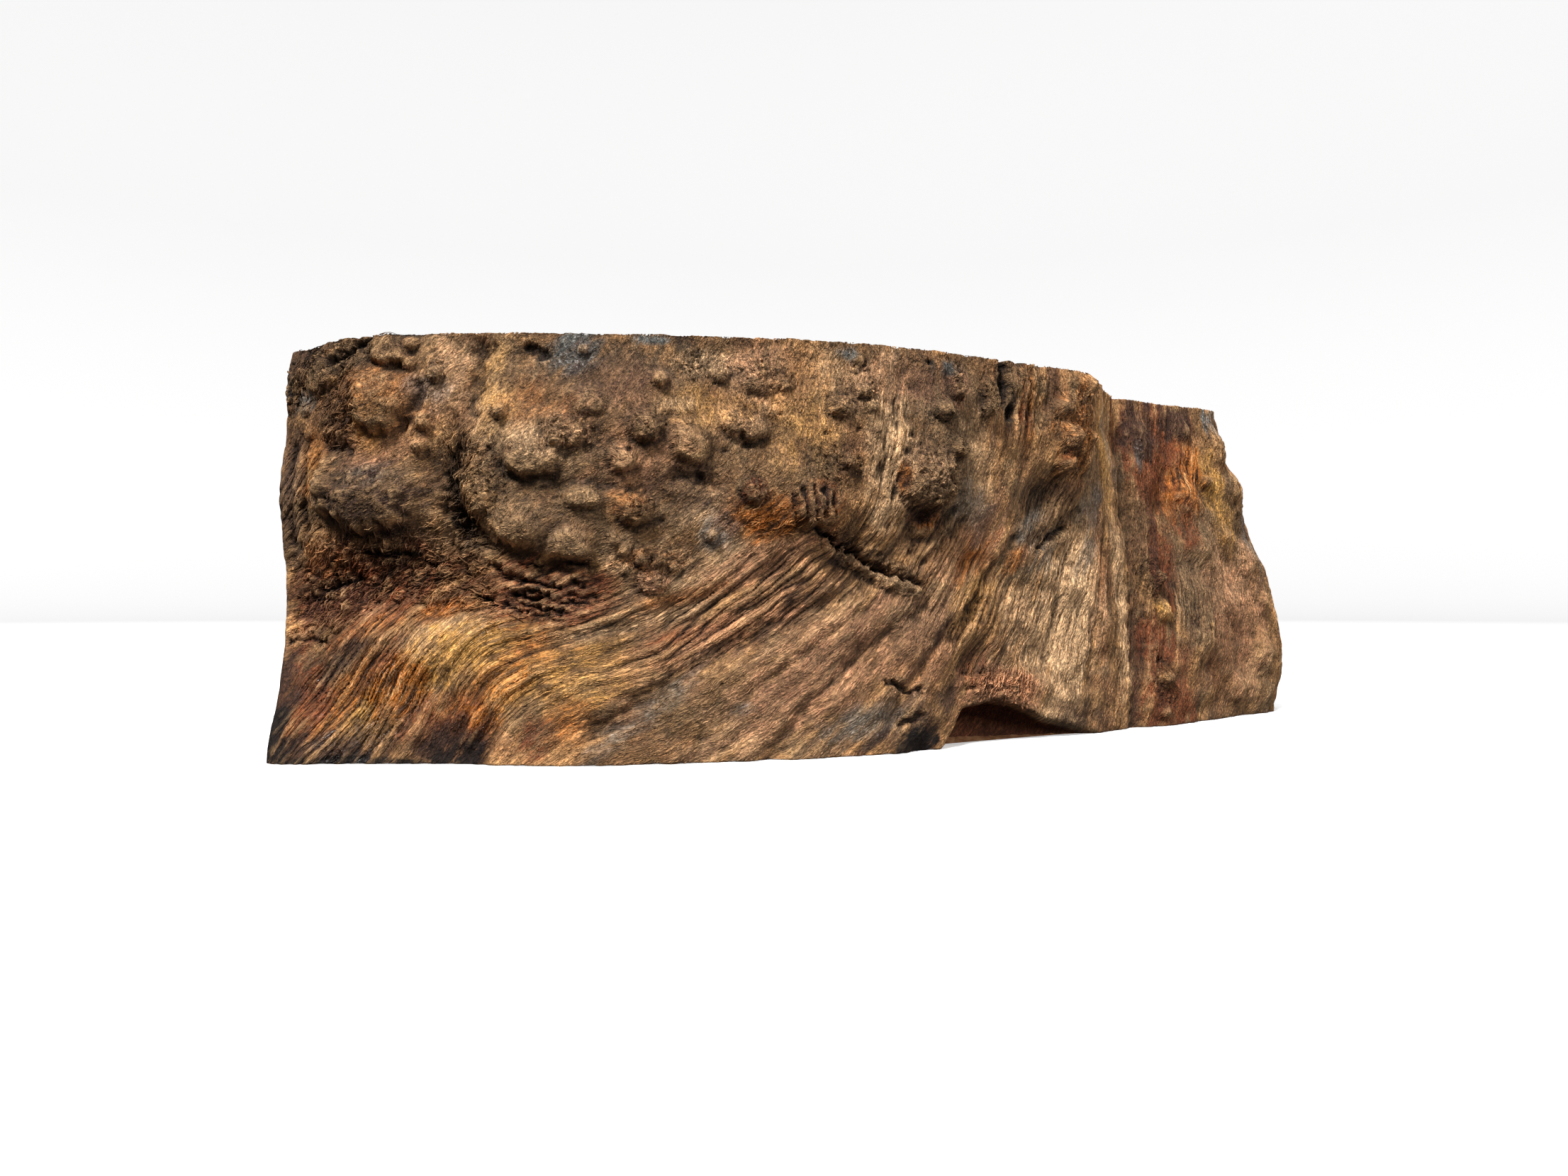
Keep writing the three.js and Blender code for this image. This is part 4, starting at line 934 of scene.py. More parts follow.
        # Where it is crumbled: at the listed places, thinly on the lumps, and along the rims of splits.
        relief, crust = self.raise_lumps()
        self.crumbled = np.maximum(self.gathered(CRUMBLES, 1.3 * self.ragged), crust)
        for split in SPLITS:
            rim = 0.2 * split.deep * smooth(3.6, 2, self.distance(split) + 1.6 * self.ragged)
            self.crumbled = np.maximum(self.crumbled, rim)
        self.matted = self.gathered(MATS, 1.2 * self.ragged)
        relief = self.open_holes(self.raise_crusts(self.raise_ridges(relief)))
        end = self.run_line[-1]
        self.relief = relief * (1 - smooth(end - self.back_margin, end, self.run))

        # How far each place lies back from the relief's near, wide and broad averages, for the painted shade
        # and highlights.
        near = self.softened(relief, 0.7) - relief
        wide = self.softened(relief, 2.4) - relief
        self.cavity = np.clip(self.near_gain * near + 0.3 * np.maximum(wide, 0), -1, 1)
        self.depth = np.clip(0.3 * (self.softened(relief, 5.5) - self.softened(relief, 1.2)), -0.5, 0.5)

    def hollow_share(self) -> Array:
        """How far each point goes back to the hollow's wall.

        Returns:
            0 on the open face and 1 inside the hollow.
        """
        x = self.plan[..., 0]
        spans, heights = zip(*self.arch)
        torn = 0.5 * self.ragged * smooth(spans[0], spans[0] + 3.5, x)
        ceiling = np.interp(x, spans, heights) + torn * smooth(spans[-1], spans[-1] - 6, x)
        inside = smooth(ceiling, ceiling - self.lip, self.height)
        return inside * (x > spans[0]) * (x < spans[-1])

    def lay_stains(self) -> None:
        """Spread every stain over its places, with edges broken up by noise and drawn out along the grain."""
        broken = 0.28 * self.waves(GradientNoise(SEED + 20), 3, 4) + 0.14 * self.streak
        inside = smooth(0.35, 0.8, self.hollow_share())
        self.masks = {s.name.lower(): self.gathered(STAINS[s], broken) * (1 - inside) for s in Stain}
        # The splits are painted black inside as shade.
        self.masks["soot"] = np.maximum(self.masks["soot"], 0.9 * self.cut)
        self.masks |= {
            "inside": inside,
            "gloss": self.gathered(GLOSS, 1.6 * broken) * (1 - inside),
            "cavity": 0.5 + 0.5 * self.cavity,
            "streak": np.clip(0.5 + 0.2 * self.streak, 0, 1),
            "valley": self.valley,
            "cord": np.clip(0.5 + 0.2 * self.cord, 0, 1),
            "thread": np.clip(0.5 + 0.2 * self.thread, 0, 1),
            "ridged": self.ridged * (1 - 0.7 * self.crumbled),
            "crumbled": self.crumbled,
            "creased": self.creased,
            "depth": 0.5 + self.depth,
            "burl": self.burl,
        }

    def points(self) -> Array:
        """Work out the grid's places.

        Each point is the outline's plus the relief along the outline's normal, which turns to straight
        forward at the sawn left end, and in the foot hollow the point goes back to the hollow's wall.

        Returns:
            The construction's millimetres, as rows by columns by 3.
        """
        slope = self.outline.plan(self.parameters, self.height_line, slope=True)
        turned = smooth(0, 1, self.parameters * (len(self.outline.bottom) - 1))
        side = slope[..., 1] * turned
        front = -slope[..., 0] * turned - (1 - turned) * np.hypot(slope[..., 0], slope[..., 1])
        size = np.hypot(side, front)
        x = np.maximum(self.plan[..., 0] + self.relief * side / size, LEFT_END)
        y = self.plan[..., 1] + self.relief * front / size
        (x0, y0), (x1, y1) = self.wall_start, self.wall_end
        wall = y0 + (y1 - y0) * (x - x0) / (x1 - x0)
        share = self.hollow_share()
        y = y + share * np.maximum(wall + 0.25 * self.ragged - y, 0)
        return np.stack([x, y, self.height], axis=-1)


def band_quads(rows: int, around: int) -> Array:
    """Join rows of points that run round and close, each point to its neighbours to the right and above.

    Args:
        rows: how many rows of points there are.
        around: how many points a row has.

    Returns:
        Quads as vertex numbers, rows by columns by 4.
    """
    row, column = np.meshgrid(np.arange(rows - 1), np.arange(around), indexing="ij")
    low, high, following = row * around, (row + 1) * around, (column + 1) % around
    return np.stack([low + column, low + following, high + following, high + column], -1)


def new_object(name: str, data: bpy.types.ID) -> bpy.types.Object:
    """Put data into the scene as an object of its own.

    Args:
        name: the object's name.
        data: its mesh, lamp or camera.

    Returns:
        The object.
    """
    made = bpy.data.objects.new(name, data)
    bpy.context.collection.objects.link(made)
    return made


def store(mesh: bpy.types.Mesh, name: str, values: Array) -> None:
    """Keep one number, or a row of three, with every point of a mesh.

    Args:
        mesh: the mesh.
        name: the attribute's name.
        values: one number or row for every point.
    """
    kind, key = ("FLOAT", "value") if values.ndim == 1 else ("FLOAT_VECTOR", "vector")
    stored = np.ascontiguousarray(values, np.float32).ravel()
    mesh.attributes.new(name, kind, "POINT").data.foreach_set(key, stored)


def add(
    tree: bpy.types.NodeTree, kind: str, inputs: list | dict, out: int | str = 0, **settings: object
) -> Socket | None:
    """Add one shader node to a tree, with its settings, values and links.

    Args:
        tree: the material's node tree.
        kind: the node's type name after "ShaderNode".
        inputs: values or the sockets that feed them, in the node's order or by the node's sockets.
        out: which of the node's outputs is wanted.
        settings: properties of the node itself.

    Returns:
        That output, or nothing for a node that has none.
    """
    node = tree.nodes.new("ShaderNode" + kind)
    for name, value in settings.items():
        setattr(node, name, value)
    for socket, value in inputs.items() if isinstance(inputs, dict) else enumerate(inputs):
        if isinstance(value, bpy.types.NodeSocket):
            tree.links.new(value, node.inputs[socket])
        else:
            node.inputs[socket].default_value = value
    return node.outputs[out] if len(node.outputs) else None


def fresh_material(name: str) -> tuple[bpy.types.Material, bpy.types.NodeTree]:
    """Make an empty node material.

    Args:
        name: the material's name.

    Returns:
        The material and its node tree.
    """
    material = bpy.data.materials.new(name)
    material.use_nodes = True
    material.node_tree.nodes.clear()
    return material, material.node_tree


@dataclass(frozen=True)
class WeatheredBurl:
    """Natural outside of a briar burl, weathered and matt, its fibres fuzzy along the grain."""

    heart: str = "#66462b"
    crest: str = "#bb8b5a"
    grey: str = "#6c5136"
    # red-brown inner wood of the foot hollow, darkened as painted shade under its overhang
    hollow: str = "#5a3420"
    raised: str = "#c49a6c"  # painted highlight on broad rises
    sunken: str = "#33241a"  # painted shade in broad hollows
    resin: str = "#4a2a12"  # resin-brown lines between the cords, deepened as painted shade in their bump's valleys
    rubbed: str = "#cfa06a"  # painted highlight on the backs of the cords beside it
    bleached: str = "#bcb8b0"  # fibre ends in the slate patches
    worn: str = "#d8aa78"  # painted highlight on small crests
    pore: str = "#20140c"  # painted shade in small hollows
    furrow: str = "#20130b"  # painted shade in the lines between the grain's cords and threads
    # painted shade in the valleys between the grain's ridges
    valley: str = "#2a1a11"
    crease: str = "#1d120c"  # painted shade between the plates of a crust
    # Clouds of other tones: their size in millimetres, their shift in metres, where they begin, their colour.
    clouds: tuple[tuple[float, float, float, str], ...] = (
        (6, 0.1, 0.5, "#9c6c4b"), (7, 0.2, 0.52, "#625a47"), (4.5, 0.3, 0.54, "#46301f"),
    )
    fibre_width: float = 0.3  # mm across the grain; true fibres are finer and would not show
    fibre_length: float = 1.7  # mm along the grain
    cord_width: float = 0.8
    cord_length: float = 7.0
    short_width: float = 0.34  # the curled fibres of the burl
    short_length: float = 0.9
    grit: float = 0.45  # mm, the fuzz of broken fibre ends
    cork: float = 1.1  # mm, the plates of corky knots
    cloud: float = 4.0  # mm, the wood's own mottling
    patch: float = 13.0  # mm, its grey patches

    def build(self) -> bpy.types.Material:
        """Mix the wood's tones by its streaks, lay the stains over them, and paint shade into what lies deep
        and highlights onto what stands out.

        Returns:
            The material. Fibres and grit stand up in its bump, and dried resin lowers its roughness.
        """
        material, tree = fresh_material("weathered_briar_burl")
        node = partial(add, tree)
        colours = {"out": 2, "data_type": "RGBA"}
        names = [stain.name.lower() for stain in Stain] + [
            "inside", "gloss", "cavity", "streak", "valley", "cord", "thread", "ridged", "crumbled",
            "creased", "depth", "burl", "bare", "strand",
        ]
        mask = {name: node("Attribute", {}, "Fac", attribute_name=name) for name in names}
        burl, ridged, crumbled = mask["burl"], mask["ridged"], mask["crumbled"]
        grain = node("Attribute", {}, "Vector", attribute_name="grain")
        here = node("TexCoord", {}, "Object")

        def along_grain(length: float, width: float, detail: float, twist: float = 0.0) -> Socket:
            """Noise drawn out along the grain.

            Args:
                length: its size along the grain in millimetres.
                width: its size across the grain in millimetres.
                detail: how many finer layers it has.
                twist: how much it is distorted.

            Returns:
                The noise, about 0 to 1.
            """
            scaled = node("Mapping", {"Vector": grain, "Scale": (1 / length, 1 / width, 1)})
            settings = {"Vector": scaled, "Scale": 1.0, "Detail": detail, "Roughness": 0.6}
            return node("TexNoise", {**settings, "Distortion": twist})

        def clouds(size: float, detail: float, twist: float = 0.0, shift: float = 0.0) -> Socket:
            """Solid noise.

            Args:
                size: its size in millimetres.
                detail: how many finer layers it has.
                twist: how much it is distorted.
                shift: how far it is moved, in metres, so that two of a size differ.

            Returns:
                The noise, about 0 to 1.
            """
            moved = node("VectorMath", [here, (shift, shift, shift)], operation="ADD")
            settings = {"Vector": moved, "Scale": 1 / (size * MM), "Detail": detail, "Roughness": 0.6}
            return node("TexNoise", {**settings, "Distortion": twist})

        def crease(pattern: Socket, half_width: float) -> Socket:
            """A line wherever a pattern crosses its middle.

            Args:
                pattern: noise or a mask with its middle at 0.5.
                half_width: how far from its middle the line ends.

            Returns:
                0 on the line, rising to 1 beside it.
            """
            off = node("Math", [pattern, 0.5], operation="SUBTRACT")
            off = node("Math", [off], operation="ABSOLUTE")
            return node("MapRange", [off, 0.0, half_width, 0, 1])

        fibre = along_grain(self.fibre_length, self.fibre_width, 2.0, 0.5)
        cord = along_grain(self.cord_length, self.cord_width, 3.0)
        short = along_grain(self.short_length, self.short_width, 2.0, 1.4)
        fuzz, cloud, broad = (
            node("TexNoise", {"Vector": here, "Scale": 1 / (size * MM), "Detail": detail})
            for size, detail in ((self.grit, 3.0), (self.cloud, 5.0), (self.patch, 3.0))
        )
        furrow, wrinkle = crease(mask["cord"], 0.06), crease(mask["thread"], 0.05)
        weave = node("Mix", {0: burl, 6: crease(fibre, 0.07), 7: crease(short, 0.07)}, **colours)

        # Corky knots break into plates and wrinkles; elsewhere the felt has pits and, in places, cracks.
        waver = node("TexNoise", {"Vector": here, "Scale": 1 / (1.2 * MM), "Detail": 2.0}, "Color")
        pushed = node("VectorMath", {0: waver, 3: 1.1 * MM}, operation="SCALE")
        bent = node("VectorMath", [here, pushed], operation="ADD")
        scaled = {"Vector": bent, "Scale": 1 / (self.cork * MM)}
        plates = node("TexVoronoi", scaled, "Distance", feature="DISTANCE_TO_EDGE")
        plates = node("MapRange", [plates, 0.0, 0.14, 0, 1])
        plates = node("Math", [plates, crease(clouds(0.8, 2.0, 0.8), 0.05)], operation="MULTIPLY")
        pits = node("MapRange", [clouds(0.9, 2.0), 0.34, 0.42, 0.6, 1])
        crack = node("Math", [1.0, crease(clouds(2.6, 4.0, 0.6), 0.03)], operation="SUBTRACT")
        cracked = node("MapRange", [crumbled, 0.02, 0.2, 0, 1])
        crack = node("Math", [crack, cracked], operation="MULTIPLY")
        cork = node("Mix", {0: burl, 6: linear("#ffffff"), 7: pits}, **colours)
        corky = node("MapRange", [crumbled, 0.15, 0.5, 0, 1])
        cork = node("Mix", {0: corky, 6: cork, 7: plates}, **colours)
        cork = node("Math", [cork, crack], operation="SUBTRACT")

        # The wood's own tone, by its streaks where it is grained and by clouds where it is burl.
        streaked = node("Math", [mask["streak"], cord], operation="ADD")
        clouded = node("Math", [cloud, short], operation="ADD")
        tone = node("Mix", {0: burl, 6: streaked, 7: clouded}, **colours)
        tone = node("Math", [tone, cloud], operation="ADD")
        light = node("MapRange", [tone, 0.95, 2.0, 0, 1])
        colour = node("Mix", {0: light, 6: linear(self.heart), 7: linear(self.crest)}, **colours)

        # Its layers in the order in which they lie: the pattern that each follows, the range over which it
        # sets in, how much it covers, the mask that holds it in, and the colour.
        layers = [(broad, 0.42, 0.62, 0.55, 1.0, self.grey)]
        for size, shift, low, paint in self.clouds:
            layers.append((clouds(size, 3.0, 0.0, shift), low, low + 0.12, 0.38, 1.0, paint))
        # Painted highlight on broad rises and painted shade in broad hollows.
        layers.append((mask["depth"], 0.45, 0.12, 0.3, 1.0, self.raised))
        layers.append((mask["depth"], 0.56, 0.95, 0.6, 1.0, self.sunken))
        broken = node("Math", [cloud, fibre], operation="ADD")
        broken = node("Math", [broken, cord], operation="ADD")
        broken = node("MapRange", [broken, 1.25, 1.75, 0.3, 1.8])
        for stain in Stain:
            inputs = [mask[stain.name.lower()], broken]
            spread = node("Math", inputs, operation="MULTIPLY", use_clamp=True)
            layers.append((spread, 0, 1, 0.93, 1.0, stain.value))
            if stain is Stain.AMBER:
                # Resin-brown lines between the cords, deepened as painted shade where their bump is lowest,
                # and a painted highlight on their backs.
                layers.append((cord, 0.5, 0.43, 0.9, mask["amber"], self.resin))
                layers.append((cord, 0.55, 0.62, 0.65, mask["amber"], self.rubbed))
        crust = node("MapRange", [crumbled, 0.3, 0.9, 1, 0.55])
        layers += [
            (fuzz, 0.58, 0.7, 0.4, mask["slate"], self.bleached),
            # The foot hollow's wall: red-brown wood, darkened as painted shade under the overhang.
            (mask["inside"], 0, 1, 1, 1.0, self.hollow),
            # Painted highlight on small crests and painted shade in small hollows.
            (mask["cavity"], 0.45, 0.15, 0.35, 1.0, self.worn),
            (mask["cavity"], 0.54, 0.9, 0.75, crust, self.pore),
            # Painted shade in the valleys between ridges, in the creases of crusts and mats, and in the lines
            # between cords and threads.
            (mask["valley"], 0, 1, 0.35, 1.0, self.valley),
            (mask["creased"], 0.45, 1, 0.42, 1.0, self.crease),
            (furrow, 1, 0, 0.85, ridged, self.furrow),
            (wrinkle, 1, 0, 0.5, ridged, self.furrow),
        ]
        for pattern, low, high, cover, within, paint in layers:
            share = node("MapRange", [pattern, low, high, 0, cover])
            share = node("Math", [share, within], operation="MULTIPLY")
            colour = node("Mix", {0: share, 6: colour, 7: linear(paint)}, **colours)

        # What lightens and darkens it: the pattern, its range, the lightness at either end, and where.
        for pattern, low, high, dark, light, within in (
            # Painted shade in the fine creases between fibres that the bump also cuts.
            (weave, 0, 1, 0.55, 1.1, mask["bare"]),
            (tone, 1.0, 2.0, 0.7, 1.3, 1.0),
            (fibre, 0.3, 0.7, 0.72, 1.34, 1.0),
            (fuzz, 0.3, 0.7, 0.68, 1.32, 1.0),
            # Painted shade in the gaps between cork plates, in pits and in cracks, which the bump also cuts.
            (cork, 0, 1, 0.68, 1.26, 1.0),
            # Painted shade on the wood under the fibres; on the slivers, their own tones with painted light
            # on their backs and shade at their bases.
            (mask["strand"], 0, 1, 0.5, 1.5, 1.0),
        ):
            shade = node("MapRange", [pattern, low, high, dark, light])
            colour = node("Mix", {0: within, 6: colour, 7: shade}, blend_type="MULTIPLY", **colours)

        gloss = node("MapRange", [cloud, 0.4, 0.6, 0.3, 1])
        gloss = node("Math", [mask["gloss"], gloss], operation="MULTIPLY")
        roughness = node("MapRange", [gloss, 0.1, 0.7, 0.86, 0.16])
        furrowed = node("Math", [wrinkle, 0.5, furrow], operation="MULTIPLY_ADD")
        furrowed = node("Math", [furrowed, ridged], operation="MULTIPLY")
        # What stands up: the pattern, how strongly, and how high in millimetres.
        normal: dict[str, Socket] = {}
        for pattern, strength, rise in (
            (furrowed, 0.9, 0.25), (cork, 0.9, 0.22), (weave, 0.9, 0.1), (cord, 0.8, 0.5), (fuzz, 0.8, 0.2),
        ):
            inputs = {"Height": pattern, "Strength": strength, "Distance": rise * MM, **normal}
            normal = {"Normal": node("Bump", inputs)}
        surface = {"Base Color": colour, "Roughness": roughness, "Specular IOR Level": 0.35, **normal}
        node("OutputMaterial", {"Surface": node("BsdfPrincipled", surface)})
        return material


@dataclass(frozen=True)
class SawnBriar:
    """Band-sawn briar: fibres run from the back to the plateau, so ends show as small eyes on the back."""

    wood: str = "#b07a50"
    dark: str = "#7f4a2c"
    light: str = "#cfa275"
    fibre_length: float = 22.0  # mm
    fibre_width: float = 0.9  # mm, drawn wider than true fibres so that they show
    sway_length: float = 14.0  # mm from bend to bend of the fibres
    sway: float = 9.0  # mm that they bend by
    saw_pitch: float = 1.6  # mm between the marks of the band saw

    def build(self) -> bpy.types.Material:
        """Stretch solid noise along the fibres, and rule faint saw marks across the faces.

        Returns:
            The material, a warm and slightly open matt wood.
        """
        material, tree = fresh_material("band_sawn_briar")
        node = partial(add, tree)
        here = node("TexCoord", {}, "Object")
        slow = {"Vector": here, "Scale": 1 / (self.sway_length * MM), "Detail": 2.0}
        waver = node("TexNoise", slow, "Color")
        offset = node("VectorMath", {0: waver, 3: self.sway * MM}, operation="SCALE")
        bent = node("VectorMath", [here, offset], operation="ADD")
        across, along = 1 / (self.fibre_width * MM), 1 / (self.fibre_length * MM)
        fibres = node("Mapping", {"Vector": bent, "Scale": (across, along, across)})
        figure = node("TexNoise", {"Vector": fibres, "Scale": 1.0, "Detail": 4.0, "Roughness": 0.6})
        coarse = node("Mapping", {"Vector": bent, "Scale": (across / 5, along / 2, across / 5)})
        flame = node("TexNoise", {"Vector": coarse, "Scale": 1.0, "Detail": 3.0})
        tone = node("Math", [figure, flame], operation="ADD")
        tone = node("MapRange", [tone, 0.7, 1.3])
        ramp = node("ValToRGB", [tone])
        stops = ramp.node.color_ramp.elements
        stops[0].color = linear(self.dark)
        stops[1].color = linear(self.light)
        stops.new(0.45).color = linear(self.wood)

        # Saw marks: a wave texture of scale 1 repeats every 2 pi / 20 of a metre.
        marks = node("Mapping", {"Vector": here, "Rotation": (0.0, 0.12, 0.1)})
        ruling = 2 * math.pi / (20 * self.saw_pitch * MM)
        settings = {"Vector": marks, "Scale": ruling, "Distortion": 1.5, "Detail": 2.0}
        ruled = node("TexWave", settings, "Fac", bands_direction="X")
        normal: dict[str, Socket] = {}
        for pattern, strength in ((ruled, 0.35), (figure, 0.5)):
            inputs = {"Height": pattern, "Strength": strength, "Distance": 0.12 * MM, **normal}
            normal = {"Normal": node("Bump", inputs)}
        surface = {"Base Color": ramp, "Roughness": 0.72, **normal}
        node("OutputMaterial", {"Surface": node("BsdfPrincipled", surface)})
        return material


def in_frame(points: Array, origin: Point) -> Array:
    """Move points from the construction's millimetres to metres in the frame."""
    return (points + np.array([origin[0], origin[1], 0.0])) * MM


@dataclass(frozen=True)
class Sliver:
    """A kind of fibre or crumb: sizes in millimetres, angles in degrees.

    stray is how far it turns from the grain, bow how far it bends on its way, crimp how far each next
    stretch turns to and fro, lift how high its middle may arch off the wood, points how many it has, and
    tone its mean lightness, from 0 for half the wood's to 1 for half as much again.
    """

    length: float
    width: float
    height: float
    stray: float
    bow: float
    crimp: float
    points: int
    lift: float = 0.0
    tone: float = 0.5


# A kind of sliver with the distances and heights along its paths.
Grown = tuple[Sliver, Array, Array]

BURL_FIBRE = Sliver(1.0, 0.19, 0.075, stray=13, bow=20, crimp=24, points=4)
RIDGE_FIBRE = Sliver(1.9, 0.2, 0.085, stray=6, bow=8, crimp=14, points=5)
LOBE_FIBRE = Sliver(1.5, 0.26, 0.07, stray=10, bow=14, crimp=12, points=4)
MAT_FIBRE = Sliver(2.6, 0.13, 0.12, stray=34, bow=50, crimp=22, points=6, lift=0.5, tone=0.6)
CRUMB = Sliver(0.7, 0.42, 0.3, stray=180, bow=50, crimp=30, points=4, lift=0.1, tone=0.4)
HAIR = Sliver(4.5, 0.06, 0.06, stray=40, bow=70, crimp=8, points=9, lift=0.7)


@dataclass
class FibreCoat:
    """Torn fibres, crumbs and hairs on the natural face: closed three-sided slivers, pointed at both ends."""

    face: NaturalFace
    origin: Point
    # Millimetres between the places of the coat, the mats, the crumbs and the hairs.
    spacing: float = 0.44
    mat_spacing: float = 0.5
    crumb_spacing: float = 0.6
    hair_spacing: float = 5.0
    sink: float = 0.05  # how deep a sliver's base lies in the wood
    back_margin: float = 12.0  # mm before the sawn back over which the coat thins out
    lobe_start: Point = (112, 122)  # mm along the face over which the lobe's fibres take over
    tone_spread: float = 0.14  # standard deviation of the slivers' lightness
    back_tone: float = 0.11  # painted light and shade on a sliver: how much lighter its back is, and how much darker its base
    tip_tone: float = -0.1  # how much lighter its tips are

    def __post_init__(self) -> None:
        """Stack the fields that every sliver reads: places, outward normals, grain coordinates and masks."""
        points = self.face.points()
        up, along = np.gradient(points, axis=(0, 1))
        normals = np.cross(along, up)
        normals /= np.linalg.norm(normals, axis=-1, keepdims=True)
        self.names = list(self.face.masks)
        shape = [*np.moveaxis(points, -1, 0), *np.moveaxis(normals, -1, 0)]
        grain = [self.face.along, self.face.across]
        self.fields = np.stack(shape + grain + list(self.face.masks.values()))
        self.flow = np.stack([self.face.flow_along, self.face.flow_up])
        self.random = np.random.default_rng(SEED + 40)

    def scatter(self, spacing: float, likely: Array) -> tuple[Array, Array]:
        """Pick places on a shaken square lattice, each kept with the chance that a mask gives there.

        Args:
            spacing: of the lattice, in millimetres.
            likely: the chance of being kept, on the face's grid.

        Returns:
            Distances along the face and heights.
        """
        across = int(self.face.run_line[-1] / spacing)
        upward = int(HEIGHT / spacing)
        row, column = np.meshgrid(np.arange(upward), np.arange(across), indexing="ij")
        run = ((column + self.random.uniform(0, 1, row.shape)) * spacing).ravel()
        height = ((row + self.random.uniform(0, 1, row.shape)) * spacing).ravel()
        kept = self.random.uniform(0, 1, run.size) < self.face.sample(likely[None], run, height)[0]
        return run[kept], height[kept]

    def trace(self, kind: Sliver, run: Array, height: Array) -> tuple[Array, Array]:
        """Follow the grain from every start in short steps, with the kind's stray, bow and crimp.

        Args:
            kind: the kind of sliver.
            run: distances of the starts along the face.
            height: heights of the starts.

        Returns:
            Distances and heights, as slivers by points.
        """
        count = len(run)
        step = kind.length * self.random.uniform(0.6, 1.4, count) / (kind.points - 1)
        turn = np.radians(kind.stray) * self.random.uniform(-1, 1, count)
        bend = np.radians(kind.bow) * self.random.uniform(-1, 1, count) / (kind.points - 1)
        crimp = np.radians(kind.crimp) * self.random.uniform(-1, 1, count)
        runs, heights = [run], [height]
        for k in range(kind.points - 1):
            along, up = self.face.sample(self.flow, runs[-1], heights[-1])
            angle = turn + bend * k + crimp * (-1) ** k
            runs.append(runs[-1] + step * (along * np.cos(angle) - up * np.sin(angle)))
            climb = step * (up * np.cos(angle) + along * np.sin(angle))
            heights.append(np.clip(heights[-1] + climb, 0.1, HEIGHT - 0.1))
        return np.stack(runs, 1), np.stack(heights, 1)

    def slivers(self, kind: Sliver, runs: Array, heights: Array) -> tuple[Array, Array]:
        """Put a three-sided section round every path, swelling as sin(pi (0.1 + 0.8 t)), with pointed ends.

        Args:
            kind: the kind of sliver.
            runs: distances along the face, as slivers by points.
            heights: heights, as slivers by points.

        Returns:
            Places in millimetres, and the other fields with a tone in front, by slivers and vertices.
        """
        fields = np.moveaxis(self.face.sample(self.fields, runs, heights), 0, -1)
        spot, normal, rest = fields[..., :3], fields[..., 3:6], fields[..., 6:]
        normal = normal / np.linalg.norm(normal, axis=-1, keepdims=True)
        forward = np.gradient(spot, axis=1)
        side = np.cross(forward, normal)
        side /= np.linalg.norm(side, axis=-1, keepdims=True) + 1e-9
        share = np.linspace(0, 1, kind.points)
        count = len(runs)
        swell = self.random.uniform(0.6, 1.4, (count, 1)) * np.sin(math.pi * (0.1 + 0.8 * share))
        arch = kind.lift * self.random.uniform(0, 1, (count, 1)) * np.sin(math.pi * share)
        centre = spot + normal * arch[..., None]
        skew = self.random.uniform(-0.8, 0.8, (count, 1, 1))
        half, high = kind.width / 2 * swell[..., None], kind.height * swell[..., None]
        base = centre - normal * min(self.sink, kind.height / 2)
        crest = centre + normal * high + side * half * skew
        ring = np.stack([base + side * half, crest, base - side * half], 2)
        inner = ring[:, 1:-1].reshape(count, -1, 3)
        tone = self.random.normal(kind.tone, self.tone_spread, (count, 1, 1))
        edge = self.tip_tone + tone
        # Painted light on each sliver's back and painted shade at its base.
        bands = np.tile(self.back_tone * np.array([-1, 1, -1]), kind.points - 2)[None, :, None] + tone
        tones = np.clip(np.concatenate([edge, bands, edge], 1), 0, 1)
        values = np.concatenate([rest[:, :1], np.repeat(rest[:, 1:-1], 3, axis=1), rest[:, -1:]], 1)
        return np.concatenate([base[:, :1], inner, base[:, -1:]], 1), np.concatenate([tones, values], -1)

    def faces(self, points: int) -> Array:
        """Join one sliver's points: a tip, rings of three and the other tip.

        Args:
            points: how many points its path has.

        Returns:
            Triangles as vertex numbers.
        """
        ring = np.arange(points - 2)[:, None] * 3 + 1
        corner = np.arange(3)
        following = (corner + 1) % 3
        last = 3 * (points - 2) + 1
        start = np.stack([np.zeros(3, int), 1 + corner, 1 + following], -1)
        end = np.stack([np.full(3, last), last - 3 + following, last - 3 + corner], -1)
        near, far = ring[:-1], ring[1:]
        first = np.stack([near + corner, far + corner, far + following], -1).reshape(-1, 3)
        second = np.stack([near + corner, far + following, near + following], -1).reshape(-1, 3)
        return np.concatenate([start, first, second, end])

    def piece(
        self, name: str, grown: list[Grown], finish: bpy.types.Material, soft: bool = True
    ) -> None:
        """Join slivers into one piece that rides on the block.

        Args:
            name: the piece's name.
            grown: the kinds of sliver with their paths.
            finish: the material.
            soft: whether the slivers are shaded round, as fibres, or flat, as crumbs.
        """
        places, values, faces, count = [], [], [], 0
        for kind, runs, heights in grown:
            where, what = self.slivers(kind, runs, heights)
            template = self.faces(kind.points)
            starts = count + where.shape[1] * np.arange(len(where))
            faces.append((template[None] + starts[:, None, None]).reshape(-1, 3))
            places.append(where.reshape(-1, 3))
            values.append(what.reshape(-1, what.shape[-1]))
            count += where.shape[0] * where.shape[1]
        points, values = np.concatenate(places), np.concatenate(values)
        points[:, 2] = np.clip(points[:, 2], 0.03, HEIGHT + 0.5)
        mesh = bpy.data.meshes.new(name)
        mesh.from_pydata(in_frame(points, self.origin).tolist(), [], np.concatenate(faces).tolist())
        mesh.polygons.foreach_set("use_smooth", np.full(len(mesh.polygons), soft))
